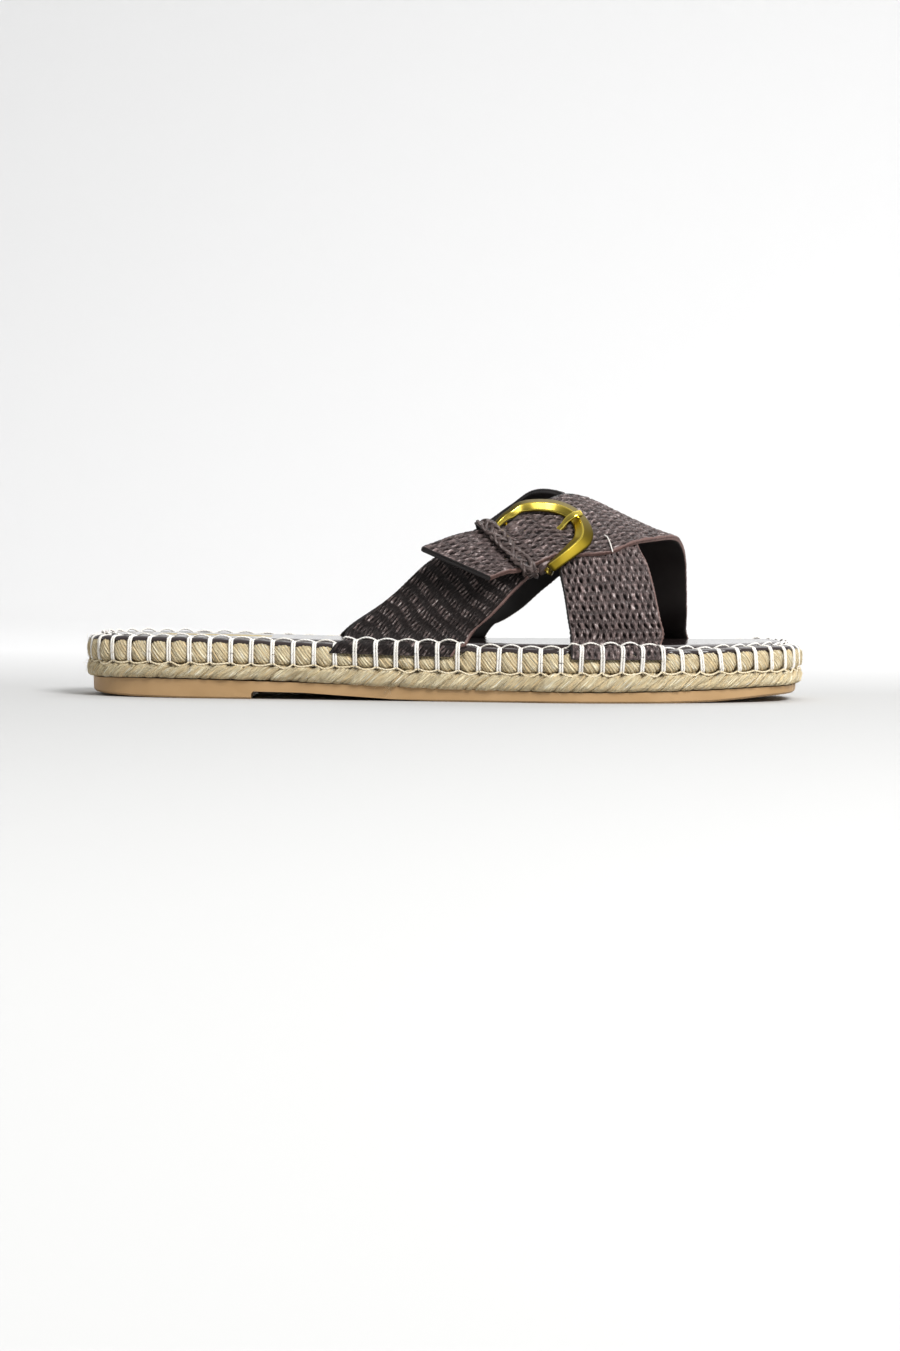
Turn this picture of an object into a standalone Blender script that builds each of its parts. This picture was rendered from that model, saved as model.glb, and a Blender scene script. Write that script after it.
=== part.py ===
# Espadrille sandal, right foot: tan rubber outsole with a heel lift, braided jute midsole,
# stitched insole, two crossed woven straps, keeper loop and a horseshoe buckle.
# Frame: +X toe, +Y medial (big toe side), -Y lateral, +Z up, floor at z = 0.
import math

import bmesh
import bpy
import numpy as np

MM = 0.001

# Plan outline of the widest line of the jute, toe tip first, then round by the medial side.
OUTLINE = (
    ("x", "y"),
    (134.0, 10.0),
    (127.5, 34.0),
    (111.7, 42.9),
    (79.0, 50.2),
    (40.0, 45.9),
    (8.0, 37.3),
    (-28.0, 31.7),
    (-70.0, 32.6),
    (-104.0, 33.6),
    (-127.5, 22.5),
    (-134.0, 0.0),
    (-127.5, -21.5),
    (-106.0, -32.8),
    (-50.0, -39.2),
    (10.0, -46.8),
    (50.0, -50.2),
    (83.7, -43.6),
    (113.7, -30.7),
    (128.5, -17.0),
)

# Heights of the layers along the shoe.
PROFILE = (
    ("x", "tread", "outsole", "seam", "jute", "insole"),
    (-135.0, 1.6, 6.7, 13.2, 20.1, 22.8),
    (-115.0, 0.35, 7.1, 13.1, 20.0, 22.7),
    (-95.0, 0.0, 7.0, 13.1, 19.9, 22.5),
    (-71.0, 0.0, 6.8, 12.9, 19.7, 22.2),
    (-52.0, 0.0, 6.2, 12.6, 19.4, 21.9),
    (-33.0, 0.0, 5.3, 12.3, 19.1, 21.6),
    (-2.0, 0.0, 4.2, 11.3, 18.8, 21.3),
    (23.0, 0.0, 3.9, 10.8, 18.6, 21.1),
    (60.0, 0.0, 3.8, 11.0, 18.6, 21.1),
    (82.0, 0.0, 4.2, 11.3, 18.6, 21.1),
    (97.0, 0.45, 4.7, 11.3, 18.7, 21.2),
    (108.0, 1.3, 5.2, 11.4, 18.8, 21.4),
    (119.0, 2.3, 5.6, 11.6, 19.0, 21.7),
    (135.0, 3.1, 6.0, 12.0, 19.4, 22.1),
)

# Arch relief under the shank, from the heel breast forward.
RELIEF = ((-71.0, 1.9), (-70.2, 2.8), (-52.0, 2.55), (-38.0, 1.75), (-28.0, 1.05), (-14.0, 0.45),
          (4.0, -0.2))

STITCHES = 81
OUTSOLE_RING = 96
INSOLE_RING = 108

# Side rows of each sole layer: inset from the outline, lower and upper layer it lies between,
# share of the way up, extra height, depth of the braid valleys, slant along the outline.
SIDE_ROWS = ("inset", "low", "high", "share", "rise", "valley", "slant")
OUTSOLE_ROWS = (
    (3.5, "tread", "outsole", 0.0, 0.0, 0.0, 0.0),
    (2.7, "tread", "outsole", 0.0, 0.7, 0.0, 0.0),
    (2.5, "tread", "outsole", 1.0, 0.0, 0.0, 0.0),
)
JUTE_ROWS = (
    (2.4, "outsole", "seam", 0.0, 0.33, 0.0, -3.2),
    (0.7, "outsole", "seam", 0.12, 0.5, 0.3, -2.4),
    (0.2, "outsole", "seam", 0.5, 0.0, 0.7, 0.0),
    (0.6, "outsole", "seam", 0.86, 0.0, 0.4, 2.2),
    (1.6, "outsole", "seam", 1.0, 0.0, 0.0, 3.0),
    (0.6, "seam", "jute", 0.14, 0.0, 0.3, 3.9),
    (0.0, "seam", "jute", 0.52, 0.0, 0.6, 3.9),
    (0.4, "seam", "jute", 0.86, 0.0, 0.4, 3.9),
    (1.7, "seam", "jute", 1.0, 0.0, 0.0, 3.9),
)
INSOLE_ROWS = (
    (2.1, "jute", "insole", 0.0, 0.32, 0.0, 0.0),
    (1.55, "jute", "insole", 0.4, 0.1, 0.0, 0.0),
    (1.7, "jute", "insole", 1.0, -0.7, 0.0, 0.0),
    (2.6, "jute", "insole", 1.0, 0.0, 0.0, 0.0),
    (6.1, "jute", "insole", 1.0, 0.0, 0.0, 0.0),
    (7.0, "jute", "insole", 1.0, -0.5, 0.0, 0.0),
    (7.9, "jute", "insole", 1.0, 0.0, 0.0, 0.0),
)

# Arch the straps follow, cut across the shoe: girth 0 at the lateral stitch line, 1 low wall,
# 2 shoulder, 3 crown, 4 medial shoulder, 5 low wall, 6 at the medial stitch line.
ARCH = (
    ("x", "y0", "y1", "z1", "y2", "z2", "y3", "z3", "y4", "z4", "y5", "z5", "y6"),
    (-45.0, -32.8, -32.2, 27.0, -31.2, 33.0, -3.0, 46.0, 18.8, 33.0, 22.6, 27.0, 25.4),
    (-20.0, -35.9, -33.8, 30.5, -29.7, 42.0, -4.0, 60.0, 18.2, 40.5, 21.6, 30.5, 25.4),
    (0.0, -38.6, -36.6, 34.0, -29.3, 53.5, -2.0, 70.0, 23.6, 55.5, 30.2, 36.0, 30.4),
    (15.0, -40.3, -39.2, 34.0, -31.8, 56.0, 0.0, 75.6, 20.8, 64.8, 35.4, 38.0, 33.6),
    (30.0, -41.9, -41.3, 35.0, -34.4, 56.5, 3.0, 80.6, 26.5, 66.0, 39.6, 40.0, 37.2),
    (40.0, -42.8, -42.0, 36.0, -34.0, 57.0, 2.0, 77.8, 26.8, 65.0, 39.3, 42.5, 38.8),
    (50.0, -43.4, -42.5, 36.0, -33.5, 55.5, 0.0, 73.6, 25.5, 60.5, 36.8, 42.0, 40.6),
    (60.0, -43.2, -42.0, 36.0, -32.0, 54.0, -2.0, 69.2, 21.5, 56.0, 32.6, 37.0, 41.6),
    (70.0, -41.6, -40.5, 35.0, -30.0, 52.0, -3.0, 64.5, 18.6, 52.5, 30.6, 35.0, 42.3),
    (80.0, -38.9, -38.0, 34.0, -27.0, 50.0, -4.0, 60.4, 17.0, 50.0, 29.6, 34.0, 42.6),
    (93.0, -34.2, -33.5, 33.0, -24.0, 47.0, -5.0, 57.2, 16.5, 47.5, 28.6, 33.0, 41.0),
)
ARCH_FOOT = 2.6

# Strap foot wrapped over the rim: inset from the outline, height over the insole, thickness.
FOOT = (
    ("inset", "above", "thick"),
    (-0.1, -5.6, 1.1),
    (-0.2, -2.2, 1.1),
    (0.45, 0.75, 1.15),
    (2.4, 1.75, 1.2),
    (5.2, 1.95, 1.3),
)

# Strap rows from foot to foot: rear edge and front edge on the arch, lift off the arch,
# share of the arch's curve across the row (0 is a straight row), thickness.
STRAP = ("rear_x", "rear_girth", "front_x", "front_girth", "lift", "bow", "thick")
UNDER_STRAP = (
    (45.2, 0.12, 79.6, 0.12, 0.0, 1.0, 1.8),
    (44.3, 0.52, 78.4, 0.62, 0.0, 1.0, 2.0),
    (42.8, 1.18, 76.2, 1.37, 0.0, 1.0, 2.0),
    (41.0, 1.64, 73.8, 1.95, 0.0, 1.0, 2.0),
    (40.6, 2.10, 71.0, 2.25, 0.0, 1.0, 2.0),
    (42.0, 2.55, 70.0, 2.62, 0.0, 1.0, 2.0),
    (43.2, 3.00, 69.6, 3.06, 0.0, 1.0, 2.0),
    (37.2, 3.16, 67.0, 3.52, 0.0, 1.0, 2.0),
    (31.0, 3.38, 60.6, 3.95, 0.0, 1.0, 2.0),
    (24.0, 3.66, 51.0, 4.50, 0.0, 1.0, 2.0),
    (13.5, 3.98, 38.6, 5.07, 0.0, 1.0, 2.0),
    (2.5, 4.00, 29.6, 5.44, 0.0, 1.0, 2.0),
    (-9.0, 4.05, 23.6, 5.67, 0.0, 1.0, 2.0),
    (-22.5, 4.38, 19.4, 5.80, 0.0, 1.0, 1.9),
    (-35.5, 5.40, 15.4, 5.88, 0.0, 1.0, 1.7),
)
UNDER_FEET = (("lateral", 45.4, 80.0), ("medial", -40.0, 13.0))
OVER_STRAP = (
    (57.2, 5.88, 92.2, 5.88, 0.0, 1.0, 1.8),
    (60.0, 5.36, 91.8, 5.10, 0.0, 1.0, 2.0),
    (62.0, 4.70, 91.0, 4.34, 0.6, 1.0, 2.2),
    (61.0, 4.10, 90.0, 3.78, 1.6, 1.0, 2.7),
    (58.6, 3.59, 88.0, 3.38, 1.9, 1.0, 2.9),
    (54.2, 3.12, 84.6, 2.95, 1.9, 1.0, 2.9),
    (49.0, 2.88, 76.3, 2.49, 1.9, 1.0, 2.9),
    (42.6, 2.68, 68.4, 2.24, 1.9, 1.0, 2.9),
    (36.8, 2.50, 59.5, 1.99, 1.9, 1.0, 2.9),
    (31.0, 2.40, 49.6, 1.85, 2.0, 0.9, 2.9),
    (26.0, 2.29, 41.0, 1.73, 2.3, 0.3, 2.3),
    (23.0, 2.18, 36.4, 1.62, 2.75, 0.0, 2.0),
    (16.8, 2.16, 31.4, 1.545, 4.0, 0.0, 2.0),
    (13.2, 2.145, 28.3, 1.50, 4.5, 0.0, 2.0),
)
OVER_FOOT = ("medial", 57.0, 92.3)
REAR_LEG = (
    (-36.5, 0.20, 6.4, 0.14, 0.0, 1.0, 1.8),
    (-29.0, 1.20, 13.4, 0.57, 0.0, 1.0, 2.0),
    (-18.5, 1.72, 19.6, 1.02, 0.0, 1.0, 2.0),
    (-7.0, 2.02, 25.0, 1.27, 0.0, 1.0, 2.0),
    (6.0, 2.13, 28.6, 1.42, 0.0, 0.6, 2.0),
    (16.8, 2.16, 31.4, 1.545, 0.0, 0.0, 2.0),
    (23.0, 2.18, 36.4, 1.62, 0.0, 0.0, 2.0),
)
REAR_FOOT = ("lateral", -37.7, 5.9)

# Free end of the over strap behind the keeper: rear edge, front edge, thickness.
TAIL = (
    ("rear_x", "rear_y", "rear_z", "front_x", "front_y", "front_z", "thick"),
    (4.0, -37.0, 61.2, 23.0, -45.8, 47.2, 2.2),
    (-8.7, -44.6, 56.6, 16.2, -48.6, 45.8, 2.4),
)

STRAP_COLUMNS = 5
WEAVE_PITCH = 3.65
WEAVE_HEIGHT = 0.4

# Buckle: horseshoe stations on the arch, lift, width across, depth.
FRAME = (
    ("x", "girth", "lift", "wide", "deep"),
    (21.8, 2.24, -1.8, 2.4, 2.2),
    (21.8, 2.24, 0.8, 2.4, 2.2),
    (22.2, 2.247, 2.9, 2.4, 1.7),
    (25.0, 2.293, 4.35, 3.2, 2.0),
    (28.8, 2.34, 4.35, 3.9, 2.2),
    (34.7, 2.36, 4.35, 4.4, 2.3),
    (41.1, 2.38, 4.35, 4.4, 2.3),
    (46.0, 2.33, 4.35, 4.6, 2.3),
    (49.0, 2.22, 4.35, 5.4, 2.3),
    (49.7, 2.09, 4.35, 6.0, 2.3),
    (47.2, 1.95, 4.35, 5.0, 2.3),
    (43.3, 1.75, 4.35, 4.0, 2.2),
    (39.8, 1.60, 4.35, 3.2, 2.2),
    (38.1, 1.545, 3.0, 2.4, 1.8),
    (37.8, 1.54, 0.8, 2.4, 2.2),
    (37.8, 1.54, -1.8, 2.4, 2.2),
)
BAR_RADIUS = 1.3
TUNNEL_RADIUS = 1.6
FOLD_RADIUS = 3.4

# Prong from the bar through the strap and over the frame: station, lift, radius.
PRONG = (
    ("x", "girth", "lift", "radius"),
    (36.5, 2.12, -1.5, 1.0),
    (40.6, 2.19, 0.6, 1.0),
    (43.3, 2.22, 4.2, 0.95),
    (45.4, 2.24, 6.7, 0.9),
    (48.6, 2.31, 6.95, 0.7),
)
PRONG_RING = (1.65, 2.8, 3.8)

# Keeper: line it follows across the straps, and the band's section.
KEEPER_LINE = ((15.6, 2.154), (29.8, 1.522))
BAR_LINE = ((23.0, 2.18), (36.4, 1.62))
KEEPER_LEVELS = ((-4.7, -0.3), (5.8, -1.5))
KEEPER_EDGES = (0.1, 0.175)
KEEPER_WIDTH = 5.5
KEEPER_THICK = 1.3


def columns(table):
    """Return a dictionary of column arrays from a table whose first row names them."""
    names = table[0]
    return {name: np.array([row[i] for row in table[1:]]) for i, name in enumerate(names)}


def spline(points, per_span, closed=False):
    """Centripetal Catmull-Rom curve through the points."""
    points = np.asarray(points, dtype=float)
    count = len(points)
    if closed:
        padded = np.concatenate([points[-1:], points, points[:2]])
        spans = count
    else:
        first = 2 * points[:1] - points[1:2]
        last = 2 * points[-1:] - points[-2:-1]
        padded = np.concatenate([first, points, last])
        spans = count - 1
    curve = []
    for i in range(spans):
        p0, p1, p2, p3 = padded[i:i + 4]
        t1 = math.sqrt(max(np.linalg.norm(p1 - p0), 1e-9))
        t2 = t1 + math.sqrt(max(np.linalg.norm(p2 - p1), 1e-9))
        t3 = t2 + math.sqrt(max(np.linalg.norm(p3 - p2), 1e-9))
        t = np.linspace(t1, t2, per_span, endpoint=False).reshape((-1,) + (1,) * (p1.ndim))
        a1 = (t1 - t) / t1 * p0 + t / t1 * p1
        a2 = (t2 - t) / (t2 - t1) * p1 + (t - t1) / (t2 - t1) * p2
        a3 = (t3 - t) / (t3 - t2) * p2 + (t - t2) / (t3 - t2) * p3
        b1 = (t2 - t) / t2 * a1 + t / t2 * a2
        b2 = (t3 - t) / (t3 - t1) * a2 + (t - t1) / (t3 - t1) * a3
        curve.append((t2 - t) / (t2 - t1) * b1 + (t - t1) / (t2 - t1) * b2)
    if not closed:
        curve.append(points[-1:])
    return np.concatenate(curve)


def level(name, x):
    """Height of a layer boundary at x."""
    table = columns(PROFILE)
    return np.interp(x, table["x"], table[name])


def dense_outline():
    """Outline as arc lengths and points, closed, toe tip first."""
    curve = spline(OUTLINE[1:], 40, closed=True)
    curve = np.vstack([curve, curve[:1]])
    arc = np.concatenate([[0.0], np.cumsum(np.linalg.norm(np.diff(curve, axis=0), axis=1))])
    return arc, curve


ARC, EDGE = dense_outline()
GIRTH = ARC[-1]


def outline_at(arc):
    """Points and outward normals of the outline at the given arc lengths."""
    def sample(s):
        s = np.mod(s, GIRTH)
        return np.stack([np.interp(s, ARC, EDGE[:, 0]), np.interp(s, ARC, EDGE[:, 1])], axis=1)
    arc = np.asarray(arc, dtype=float)
    along = sample(arc + 1.5) - sample(arc - 1.5)
    along /= np.linalg.norm(along, axis=1)[:, None]
    return sample(arc), np.stack([along[:, 1], -along[:, 0]], axis=1)


def arc_of(side, x):
    """Arc length of the outline at x on the lateral or the medial side."""
    samples = np.linspace(0.0, GIRTH, 1600, endpoint=False)
    points, _ = outline_at(samples)
    heel = int(np.argmin(points[:, 0]))
    if side == "medial":
        return np.interp(-np.asarray(x), -points[:heel, 0], samples[:heel])
    return np.interp(x, points[heel:, 0], samples[heel:])


def rim_point(side, x, inset, above):
    """Point over the rim at x, inset from the outline and above the insole."""
    points, normals = outline_at(arc_of(side, np.atleast_1d(x)))
    points = points - normals * inset
    z = level("insole", points[:, 0]) + above
    return np.column_stack([points, z])


def arch_section(x):
    """Seven points of the arch in the plane at x."""
    table = np.array(ARCH[1:])
    stations = table[:, 0]
    x = float(np.clip(x, stations[0], stations[-1]))
    i = int(np.clip(np.searchsorted(stations, x) - 1, 0, len(stations) - 2))
    slopes = np.gradient(table, stations, axis=0)
    step = stations[i + 1] - stations[i]
    u = (x - stations[i]) / step
    row = ((2 * u ** 3 - 3 * u ** 2 + 1) * table[i] + (u ** 3 - 2 * u ** 2 + u) * step * slopes[i]
           + (3 * u ** 2 - 2 * u ** 3) * table[i + 1] + (u ** 3 - u ** 2) * step * slopes[i + 1])
    foot = float(level("insole", x)) + ARCH_FOOT
    return np.array([(row[1], foot), row[2:4], row[4:6], row[6:8], row[8:10], row[10:12],
                     (row[12], foot)])


def arch_base(x, girth):
    """Point of the arch at x and girth."""
    knots = arch_section(x)
    padded = np.vstack([2 * knots[0] - knots[1], knots, 2 * knots[-1] - knots[-2]])
    girth = float(np.clip(girth, 0.0, 6.0))
    i = min(int(girth), 5)
    u = girth - i
    p0, p1, p2, p3 = padded[i:i + 4]
    h0, h1, h2 = (np.linalg.norm(p1 - p0), np.linalg.norm(p2 - p1), np.linalg.norm(p3 - p2))
    m1 = ((p1 - p0) / h0 * h1 + (p2 - p1) / h1 * h0) / (h0 + h1)
    m2 = ((p2 - p1) / h1 * h2 + (p3 - p2) / h2 * h1) / (h1 + h2)
    y, z = ((2 * u ** 3 - 3 * u ** 2 + 1) * p1 + (u ** 3 - 2 * u ** 2 + u) * h1 * m1
            + (3 * u ** 2 - 2 * u ** 3) * p2 + (u ** 3 - u ** 2) * h1 * m2)
    return np.array([x, y, z])


def arch_normal(x, girth):
    """Outward unit normal of the arch."""
    along = arch_base(x + 0.5, girth) - arch_base(x - 0.5, girth)
    across = arch_base(x, girth + 0.05) - arch_base(x, girth - 0.05)
    normal = np.cross(along, across)
    return normal / np.linalg.norm(normal)


def arch_point(x, girth, lift):
    """Point lifted off the arch along its normal."""
    return arch_base(x, girth) + lift * arch_normal(x, girth)


def build(name, vertices, faces):
    """Make a closed object from millimetre vertices with its normals outward."""
    mesh = bpy.data.meshes.new(name)
    mesh.from_pydata([tuple(float(c) * MM for c in v) for v in vertices], [], faces)
    shell = bmesh.new()
    shell.from_mesh(mesh)
    bmesh.ops.recalc_face_normals(shell, faces=shell.faces)
    shell.to_mesh(mesh)
    shell.free()
    obj = bpy.data.objects.new(name, mesh)
    bpy.context.scene.collection.objects.link(obj)
    return obj


def helper(obj):
    """Mark an object as a hidden cutter or join piece."""
    obj.display_type = "WIRE"
    obj.hide_render = True
    return obj


def combine(target, tool, operation):
    """Add an exact boolean modifier."""
    modifier = target.modifiers.new(operation.lower() + "_" + tool.name, "BOOLEAN")
    modifier.operation = operation
    modifier.solver = "EXACT"
    modifier.object = helper(tool)


def grid_faces(rows, cols, close_rows=False, close_cols=False):
    """Quads of a row by column grid, wrapped where asked."""
    faces = []
    for i in range(rows if close_rows else rows - 1):
        for j in range(cols if close_cols else cols - 1):
            a = i * cols + j
            b = i * cols + (j + 1) % cols
            c = ((i + 1) % rows) * cols + (j + 1) % cols
            d = ((i + 1) % rows) * cols + j
            faces.append((a, b, c, d))
    return faces


def strip_cap(start, count):
    """Cap of a ring made of strips across the shoe."""
    half = count // 2
    faces = [(start, start + 1, start + count - 1)]
    for i in range(1, half - 1):
        faces.append((start + i, start + i + 1, start + count - i - 1, start + count - i))
    faces.append((start + half - 1, start + half, start + half + 1))
    return faces


def strap_recess(points, normals, inset):
    """Deepen the inset where a strap foot is wrapped over the jute."""
    deep = np.zeros(len(points))
    for side, rear, front in UNDER_FEET + (OVER_FOOT, REAR_FOOT):
        facing = normals[:, 1] > 0 if side == "medial" else normals[:, 1] < 0
        under = facing & (points[:, 0] > rear - 4.5) & (points[:, 0] < front + 4.5)
        deep = np.where(under, 1.4, deep)
    return np.maximum(inset, deep)


def sole_layer(name, rows, count, recessed=()):
    """Closed layer of the sole from its side rows."""
    arc = np.arange(count) * GIRTH / count
    valley = np.arange(count) % 2
    vertices = []
    for k, values in enumerate(rows):
        row = dict(zip(SIDE_ROWS, values))
        points, normals = outline_at(arc + row["slant"])
        inset = row["inset"] + row["valley"] * valley
        if k in recessed:
            inset = strap_recess(points, normals, inset)
        points = points - normals * np.reshape(inset, (-1, 1)) * np.ones((count, 1))
        low = level(row["low"], points[:, 0])
        high = level(row["high"], points[:, 0])
        z = low + (high - low) * row["share"] + row["rise"]
        vertices.extend(np.column_stack([points, z]))
    faces = grid_faces(len(rows), count, close_cols=True)
    faces += strip_cap(0, count) + strip_cap((len(rows) - 1) * count, count)
    return build(name, vertices, faces)


def outsole():
    """Rubber outsole with the heel lift standing proud of the arched shank."""
    body = sole_layer("outsole", OUTSOLE_ROWS, OUTSOLE_RING)
    profile = [(RELIEF[0][0], -4.0)] + list(RELIEF) + [(RELIEF[-1][0], -4.0)]
    vertices = [(x, y, z) for y in (-70.0, 70.0) for x, z in profile]
    count = len(profile)
    faces = [tuple(range(count)), tuple(range(count, 2 * count))]
    faces += [(i, (i + 1) % count, (i + 1) % count + count, i + count) for i in range(count)]
    combine(body, build("shank_relief", vertices, faces), "DIFFERENCE")
    return body


def foot_rows(side, rear, front):
    """Key rows of a strap foot, from the hem on the jute up to the stitch line."""
    table = columns(FOOT)
    x = np.linspace(rear, front, STRAP_COLUMNS)
    rows = []
    thick = []
    for inset, above, depth in zip(table["inset"], table["above"], table["thick"]):
        rows.append(rim_point(side, x, inset, above))
        thick.append(depth)
    return rows, thick


def arch_rows(table):
    """Key rows of a strap laid on the arch."""
    rows = []
    thick = []
    for values in table:
        row = dict(zip(STRAP, values))
        xs = np.linspace(row["rear_x"], row["front_x"], STRAP_COLUMNS)
        girths = np.linspace(row["rear_girth"], row["front_girth"], STRAP_COLUMNS)
        curved = np.array([arch_point(x, g, row["lift"]) for x, g in zip(xs, girths)])
        share = np.linspace(0.0, 1.0, STRAP_COLUMNS)[:, None]
        straight = curved[0] * (1 - share) + curved[-1] * share
        rows.append(straight * (1 - row["bow"]) + curved * row["bow"])
        thick.append(row["thick"])
    return rows, thick


def tail_rows():
    """Key rows of the free end behind the keeper."""
    rows = []
    thick = []
    share = np.linspace(0.0, 1.0, STRAP_COLUMNS)[:, None]
    for values in TAIL[1:]:
        rows.append(np.array(values[0:3]) * (1 - share) + np.array(values[3:6]) * share)
        thick.append(values[6])
    return rows, thick


def strap(name, rows, thick):
    """Wall of woven strap: ridged outer face, smooth inner face, closed ends."""
    rows = np.array(rows)
    keys = len(rows)
    dense = spline(rows, 12)
    thick = np.interp(np.linspace(0, keys - 1, len(dense)), np.arange(keys), thick)
    middle = dense[:, STRAP_COLUMNS // 2]
    arc = np.concatenate([[0.0], np.cumsum(np.linalg.norm(np.diff(middle, axis=0), axis=1))])
    count = 2 * int(round(arc[-1] / WEAVE_PITCH)) + 1
    stations = np.linspace(0.0, arc[-1], count)
    flat = dense.reshape(len(dense), -1)
    outer = np.stack([np.interp(stations, arc, flat[:, k]) for k in range(flat.shape[1])], axis=1)
    outer = outer.reshape(count, STRAP_COLUMNS, 3)
    depth = np.interp(stations, arc, thick)
    along = np.gradient(outer, axis=0)
    across = np.gradient(outer, axis=1)
    normal = np.cross(along, across)
    normal /= np.linalg.norm(normal, axis=2)[:, :, None]
    seen = normal[:, STRAP_COLUMNS // 2]
    centre = np.array([0.0, 0.0, 15.0])
    if np.sum(seen * (outer[:, STRAP_COLUMNS // 2] - centre)) < 0:
        normal = -normal
    inner = outer - normal * depth[:, None, None]
    raised = np.zeros((count, STRAP_COLUMNS))
    raised[1:-1:2, 1:-1] = WEAVE_HEIGHT
    outer = outer + normal * raised[:, :, None]
    vertices = list(outer.reshape(-1, 3)) + list(inner.reshape(-1, 3))
    size = count * STRAP_COLUMNS
    faces = grid_faces(count, STRAP_COLUMNS)
    faces += [tuple(size + v for v in reversed(face)) for face in faces]
    for i in range(count - 1):
        for j in (0, STRAP_COLUMNS - 1):
            a = i * STRAP_COLUMNS + j
            b = a + STRAP_COLUMNS
            faces.append((a, b, b + size, a + size))
    for i in (0, count - 1):
        for j in range(STRAP_COLUMNS - 1):
            a = i * STRAP_COLUMNS + j
            faces.append((a, a + 1, a + 1 + size, a + size))
    return build(name, vertices, faces)


def bar_ends():
    """Ends of the buckle bar's axis, upper then lower."""
    first, last = FRAME[1], FRAME[-1]
    return arch_point(*first[0:3]), arch_point(*last[0:3])


def tube(name, start, end, radius, sides=16):
    """Closed cylinder between two points."""
    start, end = np.asarray(start), np.asarray(end)
    axis = (end - start) / np.linalg.norm(end - start)
    u = np.cross(axis, (0.3, 0.2, 1.0))
    u /= np.linalg.norm(u)
    v = np.cross(axis, u)
    angles = np.arange(sides) * 2 * math.pi / sides
    ring = [radius * (math.cos(a) * u + math.sin(a) * v) for a in angles]
    vertices = [start + r for r in ring] + [end + r for r in ring]
    faces = grid_faces(2, sides, close_cols=True)
    faces += [tuple(range(sides)), tuple(range(sides, 2 * sides))]
    return build(name, vertices, faces)


def along_bar(share):
    """Point on the bar's axis."""
    start, end = bar_ends()
    return start * (1 - share) + end * share


def prong_sweep(name, extra, sides=10):
    """Prong body: tapered round rod from the bar over the frame, grown by extra."""
    table = columns(PRONG)
    keys = [arch_point(*row[0:3]) for row in PRONG[1:]]
    lead = keys[0] - along_bar(0.5)
    keys = [along_bar(0.5) + lead / np.linalg.norm(lead) * (PRONG_RING[0] + 0.6)] + keys
    radii = np.concatenate([table["radius"][:1], table["radius"]])
    path = spline(keys, 3)
    radii = np.interp(np.linspace(0, len(keys) - 1, len(path)), np.arange(len(keys)), radii)
    tangent = np.gradient(path, axis=0)
    tangent /= np.linalg.norm(tangent, axis=1)[:, None]
    path[0] -= tangent[0] * extra
    path[-1] += tangent[-1] * extra
    vertices = []
    for point, along, radius in zip(path, tangent, radii):
        start, end = bar_ends()
        side = (end - start) / np.linalg.norm(end - start)
        side = side - along * np.dot(side, along)
        side /= np.linalg.norm(side)
        up = np.cross(along, side)
        for k in range(sides):
            a = 2 * math.pi * k / sides
            vertices.append(point + (radius + extra) * (math.cos(a) * side + math.sin(a) * up))
    faces = grid_faces(len(path), sides, close_cols=True)
    faces += [tuple(range(sides)), tuple(range((len(path) - 1) * sides, len(path) * sides))]
    return build(name, vertices, faces)


def bar_piece(name, half, radius):
    """Short cylinder on the bar's axis, centred on the prong."""
    start, end = bar_ends()
    axis = (end - start) / np.linalg.norm(end - start)
    middle = along_bar(0.5)
    return tube(name, middle - axis * half, middle + axis * half, radius)


def upper():
    """Crossed straps and rear leg in one woven wall, the leg folded round the bar."""
    lateral, lateral_thick = foot_rows(*UNDER_FEET[0])
    medial, medial_thick = foot_rows(*UNDER_FEET[1])
    middle, thick = arch_rows(UNDER_STRAP)
    body = strap("upper", lateral + middle + medial[::-1],
                 lateral_thick + thick + medial_thick[::-1])
    foot, foot_thick = foot_rows(*OVER_FOOT)
    middle, thick = arch_rows(OVER_STRAP)
    tail, tail_thick = tail_rows()
    combine(body, strap("over_strap", foot + middle + tail, foot_thick + thick + tail_thick),
            "UNION")
    foot, foot_thick = foot_rows(*REAR_FOOT)
    middle, thick = arch_rows(REAR_LEG)
    combine(body, strap("rear_leg", foot + middle, foot_thick + thick), "UNION")
    combine(body, tube("bar_fold", along_bar(0.075), along_bar(0.925), FOLD_RADIUS), "UNION")
    combine(body, tube("bar_tunnel", along_bar(-0.1), along_bar(1.1), TUNNEL_RADIUS),
            "DIFFERENCE")
    combine(body, bar_piece("prong_slot", PRONG_RING[2] / 2 + 0.35, PRONG_RING[1] + 0.4),
            "DIFFERENCE")
    combine(body, prong_sweep("prong_hole", 0.35), "DIFFERENCE")
    return body


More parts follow.
